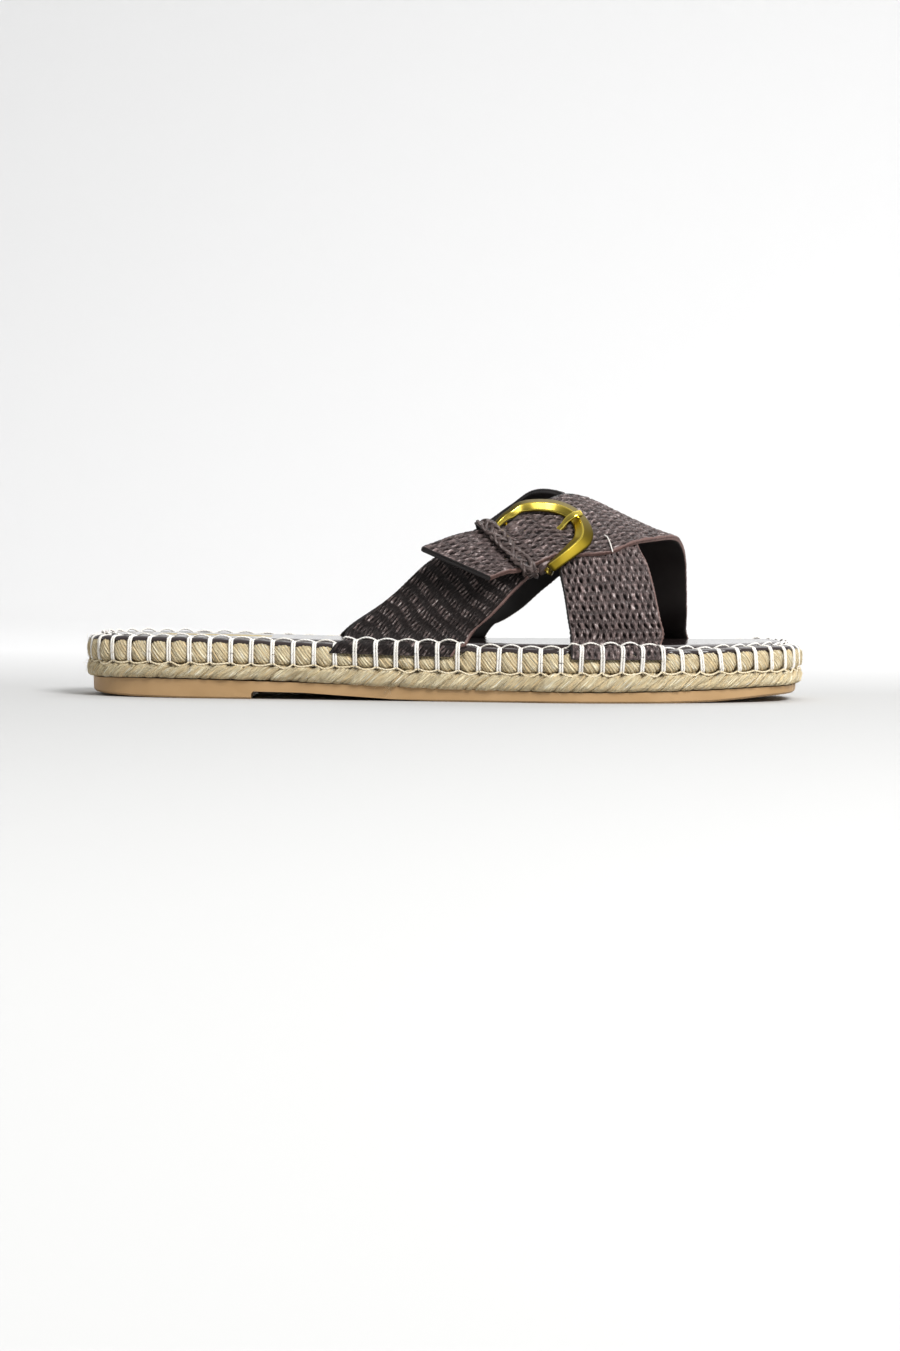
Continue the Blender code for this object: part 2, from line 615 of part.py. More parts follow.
def buckle_frame():
    """Bevelled horseshoe with its ends turned down to carry the bar, one casting."""
    table = columns(FRAME)
    keys = [arch_point(*row[0:3]) for row in FRAME[1:]]
    per = 3
    path = spline(keys, per)
    share = np.linspace(0, len(keys) - 1, len(path))
    wide = np.interp(share, np.arange(len(keys)), table["wide"])
    deep = np.interp(share, np.arange(len(keys)), table["deep"])
    xs = np.interp(share, np.arange(len(keys)), table["x"])
    girths = np.interp(share, np.arange(len(keys)), table["girth"])
    tangent = np.gradient(path, axis=0)
    tangent /= np.linalg.norm(tangent, axis=1)[:, None]
    out = np.mean([arch_normal(x, girth) for x, girth in zip(xs, girths)], axis=0)
    out /= np.linalg.norm(out)
    away = path - np.mean(path, axis=0)
    away -= np.outer(away @ out, out)
    side = away - tangent * np.sum(away * tangent, axis=1)[:, None]
    side /= np.linalg.norm(side, axis=1)[:, None]
    up = np.cross(tangent, side)
    up *= np.sign(np.sum(up[len(path) // 2] * out))
    section = ((-0.5, -0.5), (0.5, -0.5), (0.5, 0.05), (0.22, 0.5), (-0.22, 0.5), (-0.5, 0.05))
    vertices = []
    for i, point in enumerate(path):
        for a, b in section:
            vertices.append(point + side[i] * (a * wide[i]) + up[i] * (b * deep[i]))
    count = len(section)
    faces = grid_faces(len(path), count, close_cols=True)
    faces += [tuple(range(count)), tuple(range((len(path) - 1) * count, len(path) * count))]
    body = build("buckle_frame", vertices, faces)
    start, end = bar_ends()
    combine(body, tube("buckle_bar", start, end, BAR_RADIUS, 14), "UNION")
    return body


def buckle_prong():
    """Prong hung on the bar by a small ring."""
    body = bar_piece("buckle_prong", PRONG_RING[2] / 2, PRONG_RING[1])
    combine(body, prong_sweep("prong_rod", 0.0), "UNION")
    combine(body, bar_piece("ring_bore", PRONG_RING[2], PRONG_RING[0]), "DIFFERENCE")
    return body


def keeper_loop():
    """Woven band closed round the strap end and the rear leg."""
    (low, low_drop), (high, high_drop) = KEEPER_LEVELS
    corners = np.array([[arch_point(x, g, value) for x, g in KEEPER_LINE]
                        for value in (low, high)])
    ahead = np.array([[arch_point(x, g, value + drop) for x, g in BAR_LINE]
                      for value, drop in ((low, low_drop), (high, high_drop))]) - corners
    upper_edge, lower_edge = KEEPER_EDGES
    lap = [(s, 1.0) for s in np.linspace(-0.01, 1.01, 7)]
    lap += [(1.0 + lower_edge, v) for v in (0.85, 0.5, 0.15)]
    lap += [(s, 0.0) for s in np.linspace(1.01, -0.01, 7)]
    lap += [(-upper_edge, v) for v in (0.15, 0.5, 0.85)]
    weights = np.array([[(1 - v) * (1 - u), (1 - v) * u, v * (1 - u), v * u] for u, v in lap])
    path = weights @ corners.reshape(4, 3)
    ahead = weights @ ahead.reshape(4, 3)
    along = np.roll(path, -1, axis=0) - np.roll(path, 1, axis=0)
    along /= np.linalg.norm(along, axis=1)[:, None]
    ahead -= along * np.sum(ahead * along, axis=1)[:, None]
    ahead /= np.linalg.norm(ahead, axis=1)[:, None]
    face = np.cross(along, ahead)
    if np.sum(face * (path - np.mean(path, axis=0))) < 0:
        face = -face
    half = KEEPER_WIDTH / 2
    section = ((-half, -0.5), (half, -0.5), (half, 0.2), (0.62 * half, 0.5), (0.3 * half, 0.3),
               (0.0, 0.5), (-0.3 * half, 0.3), (-0.62 * half, 0.5), (-half, 0.2))
    vertices = []
    for point, front, normal in zip(path, ahead, face):
        for a, b in section:
            vertices.append(point + front * a + normal * (b * KEEPER_THICK))
    faces = grid_faces(len(path), len(section), close_rows=True, close_cols=True)
    return build("keeper_loop", vertices, faces)


def material(name, colour, metallic, roughness):
    """Plain surface of one material slot."""
    made = bpy.data.materials.new(name)
    made.use_nodes = True
    shader = made.node_tree.nodes["Principled BSDF"]
    shader.inputs["Base Color"].default_value = (*colour, 1.0)
    shader.inputs["Metallic"].default_value = metallic
    shader.inputs["Roughness"].default_value = roughness
    return made


def main():
    """Build the sandal."""
    for obj in list(bpy.data.objects):
        bpy.data.objects.remove(obj)
    rubber = material("rubber", (0.47, 0.30, 0.14), 0.0, 0.6)
    jute = material("jute", (0.56, 0.43, 0.27), 0.0, 0.9)
    leather = material("leather", (0.022, 0.017, 0.018), 0.0, 0.4)
    weave = material("weave", (0.062, 0.040, 0.036), 0.0, 0.6)
    brass = material("brass", (0.85, 0.62, 0.10), 1.0, 0.2)
    parts = (
        (outsole(), rubber),
        (sole_layer("jute_midsole", JUTE_ROWS, 2 * STITCHES, recessed=(6, 7)), jute),
        (sole_layer("insole", INSOLE_ROWS, INSOLE_RING), leather),
        (upper(), weave),
        (keeper_loop(), weave),
        (buckle_frame(), brass),
        (buckle_prong(), brass),
    )
    for obj, surface in parts:
        obj.data.materials.append(surface)


main()
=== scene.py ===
# Espadrille sandal, right foot: every visible surface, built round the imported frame.
# Dictionaries hold millimetres and degrees; meshes are written in metres.
# +X is the toe, +Y the medial side, +Z up.
import math

import bmesh
import bpy
import numpy as np
from mathutils import Matrix, Vector


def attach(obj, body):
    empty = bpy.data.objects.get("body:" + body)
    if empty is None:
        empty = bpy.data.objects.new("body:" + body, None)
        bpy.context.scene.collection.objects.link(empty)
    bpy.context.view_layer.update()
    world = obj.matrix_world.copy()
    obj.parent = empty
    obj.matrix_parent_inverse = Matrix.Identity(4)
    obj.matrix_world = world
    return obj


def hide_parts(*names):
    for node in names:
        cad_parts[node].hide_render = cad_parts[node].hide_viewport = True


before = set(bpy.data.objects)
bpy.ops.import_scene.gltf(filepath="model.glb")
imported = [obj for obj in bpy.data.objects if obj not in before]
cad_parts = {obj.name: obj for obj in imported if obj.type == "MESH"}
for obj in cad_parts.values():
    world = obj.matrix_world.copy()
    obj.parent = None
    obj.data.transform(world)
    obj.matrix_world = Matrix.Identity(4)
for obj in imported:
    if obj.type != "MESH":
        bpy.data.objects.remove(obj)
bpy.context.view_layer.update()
mm = 0.001
print("frame loaded:", sorted(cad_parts))

# camera

cameraPlace = {"spot": (1.7, -1500.0, 69.2), "pitchDown": 2.343, "roll": 0.498, "lens": 106.93}


def newObject(name, data):
    thing = bpy.data.objects.new(name, data)
    bpy.context.scene.collection.objects.link(thing)
    return thing


def makeCamera(place):
    lens = bpy.data.cameras.new("camera")
    lens.lens = place["lens"]
    lens.sensor_width = 36.0
    lens.clip_end = 20.0
    camera = newObject("camera", lens)
    turn = Matrix.Rotation(math.radians(90 - place["pitchDown"]), 4, "X")
    turn = turn @ Matrix.Rotation(math.radians(place["roll"]), 4, "Z")
    camera.matrix_world = Matrix.Translation([c * mm for c in place["spot"]]) @ turn
    bpy.context.scene.camera = camera


makeCamera(cameraPlace)
print("camera set")

# small tools for arrays and meshes

def unit(vectors):
    # each vector over its own length
    return vectors / np.maximum(np.linalg.norm(vectors, axis=-1, keepdims=True), 1e-9)


def spline(points, perSpan, closed=False):
    # centripetal Catmull-Rom curve: each span blends four neighbours by root-chord distances
    points = np.asarray(points, float)
    if closed:
        padded = np.concatenate([points[-1:], points, points[:2]])
    else:
        first, last = 2 * points[:1] - points[1:2], 2 * points[-1:] - points[-2:-1]
        padded = np.concatenate([first, points, last])
    curve = []
    for i in range(len(padded) - 3):
        p0, p1, p2, p3 = padded[i:i + 4]
        t1 = math.sqrt(max(np.linalg.norm(p1 - p0), 1e-9))
        t2 = t1 + math.sqrt(max(np.linalg.norm(p2 - p1), 1e-9))
        t3 = t2 + math.sqrt(max(np.linalg.norm(p3 - p2), 1e-9))
        t = np.linspace(t1, t2, perSpan, endpoint=False).reshape((-1,) + (1,) * p1.ndim)
        a1 = (t1 - t) / t1 * p0 + t / t1 * p1
        a2 = (t2 - t) / (t2 - t1) * p1 + (t - t1) / (t2 - t1) * p2
        a3 = (t3 - t) / (t3 - t2) * p2 + (t - t2) / (t3 - t2) * p3
        b1 = (t2 - t) / t2 * a1 + t / t2 * a2
        b2 = (t3 - t) / (t3 - t1) * a2 + (t - t1) / (t3 - t1) * a3
        curve.append((t2 - t) / (t2 - t1) * b1 + (t - t1) / (t2 - t1) * b2)
    if not closed:
        curve.append(points[-1:])
    return np.concatenate(curve)


def runLength(points):
    # distance along a line of points, from its start to each of them
    return np.concatenate([[0.0], np.cumsum(np.linalg.norm(np.diff(points, axis=0), axis=1))])


def alongKeys(values, count):
    # one value a key, read at even steps from the first key to the last
    return np.interp(np.linspace(0, len(values) - 1, count), np.arange(len(values)), values)


def gridQuads(rows, cols, closeRows=False, closeCols=False):
    # corner numbers of each cell of a row by column grid, and its row and column
    i, j = np.meshgrid(np.arange(rows if closeRows else rows - 1),
                       np.arange(cols if closeCols else cols - 1), indexing="ij")
    i, j = i.ravel(), j.ravel()
    up, right = (i + 1) % rows, (j + 1) % cols
    return np.stack([i * cols + j, i * cols + right, up * cols + right, up * cols + j], 1), i, j


def smoothFaces(mesh):
    mesh.polygons.foreach_set("use_smooth", np.ones(len(mesh.polygons), bool))


def makePiece(name, points, quads, caps, uv, fields, paints=(), paintIndex=None, slot=None,
              replaces=()):
    # points in millimetres, quads as an array, caps as lists; a closed shell with faces outwards
    points = np.asarray(points, float).reshape(-1, 3)
    mesh = bpy.data.meshes.new(name)
    mesh.from_pydata((points * mm).tolist(), [], quads.tolist() + [list(cap) for cap in caps])
    flat = np.zeros((len(mesh.loops), 2), np.float32)
    flat[:4 * len(quads)] = np.asarray(uv, np.float32).reshape(-1, 2)
    mesh.uv_layers.new(name="UVMap").data.foreach_set("uv", flat.ravel())
    for key, values in (fields or {}).items():
        layer = mesh.attributes.new(key, "FLOAT", "POINT")
        layer.data.foreach_set("value", np.asarray(values, np.float32).ravel())
    for paint in paints:
        mesh.materials.append(paint)
    # caps take the last quad's paint
    if paintIndex is not None:
        marks = np.zeros(len(mesh.polygons), np.int32)
        marks[:len(paintIndex)] = paintIndex
        marks[len(paintIndex):] = paintIndex[-1]
        mesh.polygons.foreach_set("material_index", marks)
    work = bmesh.new()
    work.from_mesh(mesh)
    bmesh.ops.recalc_face_normals(work, faces=work.faces)
    work.to_mesh(mesh)
    work.free()
    smoothFaces(mesh)
    mesh.update()
    piece = newObject(name, mesh)
    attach(piece, "root")
    if replaces:
        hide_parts(*replaces)
    print("  piece", name, len(mesh.polygons), "faces")


def cornerUv(u, v, i, j):
    # u and v on a grid one row and one column longer where it wraps, read at each cell's corners
    grid = np.stack([u, v], axis=-1)
    return np.stack([grid[i, j], grid[i, j + 1], grid[i + 1, j + 1], grid[i + 1, j]], axis=1)


def makeTubes(name, paths, radii, reference, sides, **facts):
    # round tubes: path + radius * (side * cos + up * sin), side being square to path and reference
    paths = np.asarray(paths, float)
    count, length = paths.shape[:2]
    along = unit(np.gradient(paths, axis=1))
    side = unit(np.cross(along, reference))
    up = np.cross(side, along)
    turn = np.arange(sides) * 2 * math.pi / sides
    radii = np.broadcast_to(radii, (count, length))[..., None, None]
    rings = paths[:, :, None] + radii * (side[:, :, None] * np.cos(turn)[:, None]
                                         + up[:, :, None] * np.sin(turn)[:, None])
    quads, i, j = gridQuads(length, sides, closeCols=True)
    step = np.linalg.norm(np.diff(paths, axis=1), axis=2)
    run = np.concatenate([np.zeros((count, 1)), np.cumsum(step, axis=1)], axis=1)
    u = np.broadcast_to(np.arange(sides + 1) / sides, (length, sides + 1))
    uv = [cornerUv(u, np.broadcast_to(r[:, None], u.shape), i, j) for r in run]
    offsets = (np.arange(count) * length * sides)[:, None, None]
    caps = [list(range(k * length * sides + s, k * length * sides + s + sides))
            for k in range(count) for s in (0, (length - 1) * sides)]
    fields = {key: np.repeat(np.asarray(values, float), length * sides)
              for key, values in facts.pop("fields", {}).items()}
    makePiece(name, rings, (quads[None] + offsets).reshape(-1, 4), caps,
              np.concatenate(uv), fields, **facts)


def ripple(a, b, seed, count, turns, swing=3.0):
    # smooth noise from -1 to 1: a few sines that fit a whole number of times into a = 0..1
    draw = np.random.default_rng(seed)
    total = 0.0
    for k, c, phase in zip(draw.integers(1, turns, count), draw.uniform(-swing, swing, count),
                           draw.uniform(0, 2 * math.pi, count)):
        total = total + np.sin(2 * math.pi * k * a + c * b + phase)
    return total / math.sqrt(count) / 1.2


def signedPower(value, power):
    return np.sign(value) * np.abs(value) ** power


def roundedSection(count, powers, halves=(1.0, 1.0), start=0.0):
    # closed section: half width * cos ^ power and half height * sin ^ power, signs kept
    turn = (np.arange(count) + start) * 2 * math.pi / count
    return np.stack([signedPower(np.cos(turn), powers[0]) * halves[0],
                     signedPower(np.sin(turn), powers[1]) * halves[1]], axis=-1)


# sole outline and layer heights

soleShape = {
    "outline": ((134.0, 10.0), (127.5, 34.0), (111.7, 42.9), (79.0, 50.2), (40.0, 45.9),
                (8.0, 37.3), (-28.0, 31.7), (-70.0, 32.6), (-104.0, 33.6), (-127.5, 22.5),
                (-134.0, 0.0), (-127.5, -21.5), (-106.0, -32.8), (-50.0, -39.2), (10.0, -46.8),
                (50.0, -50.2), (83.7, -43.6), (113.7, -30.7), (128.5, -17.0)),
    "x": (-135.0, -115.0, -95.0, -71.0, -52.0, -33.0, -2.0, 23.0, 60.0, 82.0, 97.0, 108.0,
          119.0, 135.0),
    "outsole": (6.7, 7.1, 7.0, 6.8, 6.2, 5.3, 4.2, 3.9, 3.8, 4.2, 4.7, 5.2, 5.6, 6.0),
    "seam": (13.2, 13.1, 13.1, 12.9, 12.6, 12.3, 11.3, 10.8, 11.0, 11.3, 11.3, 11.4, 11.6, 12.0),
    "jute": (20.1, 20.0, 19.9, 19.7, 19.4, 19.1, 18.8, 18.6, 18.6, 18.6, 18.7, 18.8, 19.0, 19.4),
    "insole": (22.8, 22.7, 22.5, 22.2, 21.9, 21.6, 21.3, 21.1, 21.1, 21.1, 21.2, 21.4, 21.7,
               22.1),
    # top of the thread on the stitched rim
    "stitched": (23.2, 23.3, 23.2, 22.6, 21.9, 21.5, 20.95, 20.6, 20.4, 20.4, 20.6, 21.2,
                 21.6, 21.5),
    # arc length to each side that gives the outline's direction, and steps of its look-up
    "tangentReach": 1.5, "samples": 1600,
    # arc length over which the cover of a strap foot eases off
    "coverEase": 1.2,
}
stitch = {"count": 81, "shift": -0.212, "swing": 0.5, "swingTurn": 1.3}


def levelAt(name, x):
    return np.interp(x, soleShape["x"], soleShape[name])


outlineCurve = spline(soleShape["outline"], 40, closed=True)
outlineCurve = np.vstack([outlineCurve, outlineCurve[:1]])
outlineArc = runLength(outlineCurve)
girth = outlineArc[-1]
pitch = girth / stitch["count"]


def outlineAt(arc):
    # point and outward normal of the outline at arc lengths, toe tip first, medial side next
    def place(s):
        s = np.mod(s, girth)
        return np.stack([np.interp(s, outlineArc, outlineCurve[:, k]) for k in (0, 1)], axis=-1)
    reach = soleShape["tangentReach"]
    along = unit(place(arc + reach) - place(arc - reach))
    return place(arc), np.stack([along[..., 1], -along[..., 0]], axis=-1)


def rimPoints(arc, inset, name, above):
    # points inset from the outline, at a height over one of the sole's layers
    place, normal = outlineAt(arc)
    place = place - normal * np.broadcast_to(inset, place.shape[:-1])[..., None]
    return np.concatenate([place, (levelAt(name, place[..., 0]) + above)[..., None]], axis=-1)


def arcOf(side, x):
    # arc length where the outline passes x on one side
    samples = np.linspace(0.0, girth, soleShape["samples"], endpoint=False)
    place = outlineAt(samples)[0]
    heel = int(np.argmin(place[:, 0]))
    if side == "medial":
        return np.interp(-np.asarray(x), -place[:heel, 0], samples[:heel])
    return np.interp(x, place[heel:, 0], samples[heel:])


def stitchPhase(arc):
    # a whole number at each stitch; the sine makes them a little closer on the lateral side
    swing = stitch["swing"] * np.sin(2 * math.pi * arc / girth + stitch["swingTurn"])
    return arc / pitch + swing + stitch["shift"]


def betweenStitches(arc):
    # 0 at a stitch bar, 1 half way to the next
    return np.abs(np.sin(math.pi * stitchPhase(arc)))


arcSteps = np.linspace(0.0, girth, 4001)
stitchArcs = np.interp(np.ceil(stitchPhase(0.0)) + np.arange(stitch["count"]),
                       stitchPhase(arcSteps), arcSteps)


strapFeet = {
    # side, rear x and front x at the stitch line, front x of the rim that the foot covers
    "underLateral": ("lateral", 45.4, 80.0, 80.0),
    "underMedial": ("medial", -40.0, 13.0, 13.0),
    "overMedial": ("medial", 57.0, 94.4, 92.3),
    "rearLateral": ("lateral", -37.7, 7.0, 5.9),
}


def underStrap(arc, spare=1.0):
    # 1 where a strap foot covers the rim, with some to spare, easing to 0 at its ends
    cover = np.zeros_like(arc)
    for side, rear, _, front in strapFeet.values():
        ends = np.sort(arcOf(side, [rear - spare, front + spare]))
        inside = np.minimum(arc - ends[0], ends[1] - arc) / soleShape["coverEase"]
        cover = np.maximum(cover, np.clip(inside + 0.5, 0, 1))
    return cover


# finishes

def wire(tree, socket, value):
    # a socket takes a link from another socket, or a plain value
    if isinstance(value, bpy.types.NodeSocket):
        tree.links.new(value, socket)
    else:
        socket.default_value = value


def addNode(tree, kind, inputs=None, **settings):
    node = tree.nodes.new(kind)
    for key, value in settings.items():
        setattr(node, key, value)
    for key, value in (inputs or {}).items():
        wire(tree, node.inputs[key], value)
    return node


def calc(tree, operation, *values, clamp=False):
    node = addNode(tree, "ShaderNodeMath", operation=operation, use_clamp=clamp)
    for k, value in enumerate(values):
        wire(tree, node.inputs[k], value)
    return node.outputs[0]


def blendColour(tree, share, first, second):
    node = addNode(tree, "ShaderNodeMix", data_type="RGBA", blend_type="MIX", clamp_factor=True)
    for k, value in ((0, share), (6, first), (7, second)):
        wire(tree, node.inputs[k], value)
    return node.outputs[2]


def axisOf(tree, vector, axis):
    return addNode(tree, "ShaderNodeSeparateXYZ", {0: vector}).outputs[axis]


def spread(tree, value, low, high, toLow=0.0, toHigh=1.0):
    # the value between low and high, stretched to the new range and kept inside it
    node = addNode(tree, "ShaderNodeMapRange", {"Value": value, "From Min": low, "From Max": high,
                                                "To Min": toLow, "To Max": toHigh})
    return node.outputs[0]


def newGroup(name, inputs, outputs):
    group = bpy.data.node_groups.new(name, "ShaderNodeTree")
    for key, kind, value in inputs:
        socket = group.interface.new_socket(key, in_out="INPUT", socket_type=kind)
        if value is not None:
            socket.default_value = value
    for key, kind in outputs:
        group.interface.new_socket(key, in_out="OUTPUT", socket_type=kind)
    return group, group.nodes.new("NodeGroupInput"), group.nodes.new("NodeGroupOutput")


def makeStreakGroup():
    # fine lines along v: streak = 0.65 * fine noise + 0.35 * coarse noise, both squeezed across u;
    # flecks are the rare bright ends of the fine noise
    group, given, result = newGroup(
        "fibreStreaks",
        (("Vector", "NodeSocketVector", None), ("Across", "NodeSocketFloat", 6.0),
         ("Along", "NodeSocketFloat", 0.6), ("Soft", "NodeSocketFloat", 0.18)),
        (("Streak", "NodeSocketFloat"), ("Fleck", "NodeSocketFloat")))
    apart = addNode(group, "ShaderNodeSeparateXYZ", {0: given.outputs["Vector"]})
    across = calc(group, "MULTIPLY", apart.outputs[0], given.outputs["Across"])
    along = calc(group, "MULTIPLY", apart.outputs[1], given.outputs["Along"])
    place = addNode(group, "ShaderNodeCombineXYZ", {0: across, 1: along})
    fine = addNode(group, "ShaderNodeTexNoise",
                   {"Vector": place.outputs[0], "Scale": 1.0, "Detail": 3.0, "Roughness": 0.6})
    coarse = addNode(group, "ShaderNodeTexNoise",
                     {"Vector": place.outputs[0], "Scale": 0.37, "Detail": 1.0})
    streak = calc(group, "ADD", calc(group, "MULTIPLY", fine.outputs[0], 0.65),
                  calc(group, "MULTIPLY", coarse.outputs[0], 0.35))
    soft = given.outputs["Soft"]
    wire(group, result.inputs["Streak"],
         spread(group, streak, calc(group, "SUBTRACT", 0.5, soft), calc(group, "ADD", 0.5, soft)))
    wire(group, result.inputs["Fleck"], spread(group, fine.outputs[0], 0.57, 0.66))
    return group


def makeGrainGroup():
    # small rounded cells with a slow mottle over them
    group, given, result = newGroup(
        "fineGrain", (("Vector", "NodeSocketVector", None), ("Scale", "NodeSocketFloat", 900.0)),
        (("Height", "NodeSocketFloat"), ("Mottle", "NodeSocketFloat")))
    cells = addNode(group, "ShaderNodeTexVoronoi",
                    {"Vector": given.outputs["Vector"], "Scale": given.outputs["Scale"]})
    noise = addNode(group, "ShaderNodeTexNoise",
                    {"Vector": given.outputs["Vector"], "Detail": 4.0,
                     "Scale": calc(group, "MULTIPLY", given.outputs["Scale"], 0.09)})
    wire(group, result.inputs["Height"],
         calc(group, "ADD", calc(group, "MULTIPLY", cells.outputs["Distance"], 0.5),
              calc(group, "MULTIPLY", noise.outputs[0], 0.6)))
    wire(group, result.inputs["Mottle"], spread(group, noise.outputs[0], 0.3, 0.7))
    return group


def makeHollowGroup():
    # darkens a colour where the piece's own shade attribute falls from 1 to 0
    group, given, result = newGroup(
        "hollowShade",
        (("Colour", "NodeSocketColor", None), ("Deep", "NodeSocketColor", None),
         ("Power", "NodeSocketFloat", 1.0)),
        (("Colour", "NodeSocketColor"),))
    shade = addNode(group, "ShaderNodeAttribute", attribute_name="shade").outputs["Fac"]
    share = calc(group, "POWER", shade, given.outputs["Power"], clamp=True)
    wire(group, result.inputs["Colour"],
         blendColour(group, share, given.outputs["Deep"], given.outputs["Colour"]))
    return group


streakGroup, grainGroup, hollowGroup = makeStreakGroup(), makeGrainGroup(), makeHollowGroup()


def useGroup(tree, group, **inputs):
    node = addNode(tree, "ShaderNodeGroup", node_tree=group)
    for key, value in inputs.items():
        wire(tree, node.inputs[key], value)
    return node


def newPaint(name, **values):
    # a material with its Principled shader, whose plain values are set on its own sockets
    paint = bpy.data.materials.new(name)
    paint.use_nodes = True
    tree = paint.node_tree
    shader = tree.nodes["Principled BSDF"]
    for key, value in values.items():
        shader.inputs[key.replace("_", " ")].default_value = value
    return paint, tree, shader


def raiseGrain(tree, shader, height, distance):
    bump = addNode(tree, "ShaderNodeBump",
                   {"Height": height, "Distance": distance * mm, "Strength": 1.0})
    wire(tree, shader.inputs["Normal"], bump.outputs[0])


def objectPlace(tree):
    return addNode(tree, "ShaderNodeTexCoord").outputs["Object"]


def pieceUv(tree):
    return addNode(tree, "ShaderNodeUVMap", uv_map="UVMap").outputs[0]


def field(tree, name):
    return addNode(tree, "ShaderNodeAttribute", attribute_name=name).outputs["Fac"]


strawColours = {"dark": (0.74, 0.52, 0.25, 1), "light": (1.0, 0.89, 0.60, 1),
                "deep": (0.10, 0.056, 0.02, 1), "fleck": (1.0, 0.97, 0.86, 1)}
# raffia light and fleck colours: the fibres' own lighter strands, and in part painted glints of
# light
raffiaColours = {"dark": (0.008, 0.005, 0.005, 1), "light": (0.305, 0.22, 0.208, 1),
                 "deep": (0.0015, 0.001, 0.001, 1), "fleck": (0.66, 0.57, 0.55, 1)}
# rear leg raffia: darker, in part for its ribbed weave and in part as painted shadow of the free
# end
legColours = {"dark": (0.007, 0.0045, 0.0042, 1), "light": (0.235, 0.172, 0.16, 1),
              "deep": (0.0015, 0.001, 0.001, 1), "fleck": (0.80, 0.72, 0.69, 1)}
glossColours = {"dark": (0.008, 0.005, 0.005, 1), "light": (0.17, 0.125, 0.115, 1),
                "deep": (0.004, 0.003, 0.003, 1), "fleck": (0.42, 0.36, 0.34, 1)}


def fibrePaint(name, colours, across, along, soft, bias, bumpHeight, roughness, hollowPower,
               **values):
    # share of light = (bias + (1 - bias) * tone) * (0.35 + 0.65 * streak), then flecks, then
    # painted shade in the hollows
    paint, tree, shader = newPaint(name, Roughness=roughness, **values)
    streaks = useGroup(tree, streakGroup, Vector=pieceUv(tree), Across=across, Along=along,
                       Soft=soft)
    tone = field(tree, "tone")
    share = calc(tree, "MULTIPLY", spread(tree, tone, 0.0, 1.0, bias, 1.0),
                 spread(tree, streaks.outputs["Streak"], 0.0, 1.0, 0.35, 1.0), clamp=True)
    colour = blendColour(tree, share, colours["dark"], colours["light"])
    fleck = calc(tree, "MULTIPLY", streaks.outputs["Fleck"], calc(tree, "MULTIPLY", tone, 1.1))
    colour = blendColour(tree, fleck, colour, colours["fleck"])
    hollow = useGroup(tree, hollowGroup, Colour=colour, Deep=colours["deep"],
                      Power=hollowPower)
    wire(tree, shader.inputs["Base Color"], hollow.outputs["Colour"])
    raiseGrain(tree, shader, streaks.outputs["Streak"], bumpHeight)
    return paint


jutePaint = fibrePaint("natural jute yarn", strawColours, across=2.6, along=0.40, soft=0.09,
                       bias=0.75, bumpHeight=0.50, roughness=0.85, hollowPower=0.58)
# raffia streaks sized like the glints on the shiny fibres: in part painted highlights
raffiaPaint = fibrePaint("dark woven raffia", raffiaColours, across=1.5, along=0.45, soft=0.07,
                         bias=0.25, bumpHeight=0.28, roughness=0.4, hollowPower=1.0,
                         Specular_IOR_Level=0.3)
legPaint = fibrePaint("dark raffia in ribs", legColours, across=3.0, along=0.6, soft=0.07,
                      bias=0.01, bumpHeight=0.16, roughness=0.42, hollowPower=1.3,
                      Specular_IOR_Level=0.2)
glossPaint = fibrePaint("glossy plaited raffia", glossColours, across=1.8, along=0.35, soft=0.10,
                        bias=0.5, bumpHeight=0.14, roughness=0.34, hollowPower=1.0,
                        Specular_IOR_Level=0.3)


def grainPaint(name, colour, second, scale, bumpHeight, roughness, **values):
    # one colour mottled towards a second, with a fine raised grain
    paint, tree, shader = newPaint(name, Roughness=roughness, **values)
    grain = useGroup(tree, grainGroup, Vector=objectPlace(tree), Scale=scale)
    wire(tree, shader.inputs["Base Color"],
         blendColour(tree, grain.outputs["Mottle"], colour, second))
    raiseGrain(tree, shader, grain.outputs["Height"], bumpHeight)
    return paint


insolePaint = grainPaint("smooth brown insole", (0.030, 0.021, 0.021, 1),
                         (0.041, 0.030, 0.029, 1), scale=1500.0, bumpHeight=0.001, roughness=0.1)
liningPaint = grainPaint("dark lining", (0.014, 0.011, 0.0105, 1), (0.020, 0.016, 0.0148, 1),
                         scale=1300.0, bumpHeight=0.02, roughness=0.55)
edgePaint = grainPaint("painted cut edge", (0.115, 0.062, 0.053, 1), (0.17, 0.098, 0.084, 1),
                       scale=1100.0, bumpHeight=0.05, roughness=0.48)
darkEdgePaint = grainPaint("dark cut edge", (0.007, 0.005, 0.005, 1), (0.013, 0.009, 0.009, 1),
                           scale=1100.0, bumpHeight=0.06, roughness=0.5)


def makeRubberPaint():
    # mottled tan, a fine grain, and on faces that look down a tread of waves across the shoe:
    # sine of (x + a zigzag of y)
    paint, tree, shader = newPaint("tan rubber", Roughness=0.55)
    grain = useGroup(tree, grainGroup, Vector=objectPlace(tree), Scale=700.0)
    wire(tree, shader.inputs["Base Color"],
         blendColour(tree, grain.outputs["Mottle"], (0.41, 0.25, 0.11, 1), (0.49, 0.31, 0.15, 1)))
    apart = addNode(tree, "ShaderNodeSeparateXYZ", {0: objectPlace(tree)})
    zigzag = calc(tree, "PINGPONG", apart.outputs[1], 0.004)
    wave = calc(tree, "SINE", calc(tree, "MULTIPLY",
                                   calc(tree, "ADD", apart.outputs[0], zigzag), 2400.0))
    facing = axisOf(tree, addNode(tree, "ShaderNodeNewGeometry").outputs["Normal"], 2)
    under = spread(tree, facing, -0.9, -0.6, 1.0, 0.0)
    tread = calc(tree, "MULTIPLY", spread(tree, wave, -0.5, 0.1), under)
    height = calc(tree, "ADD", calc(tree, "MULTIPLY", grain.outputs["Height"], 0.04), tread)
    raiseGrain(tree, shader, height, 0.5)
    return paint


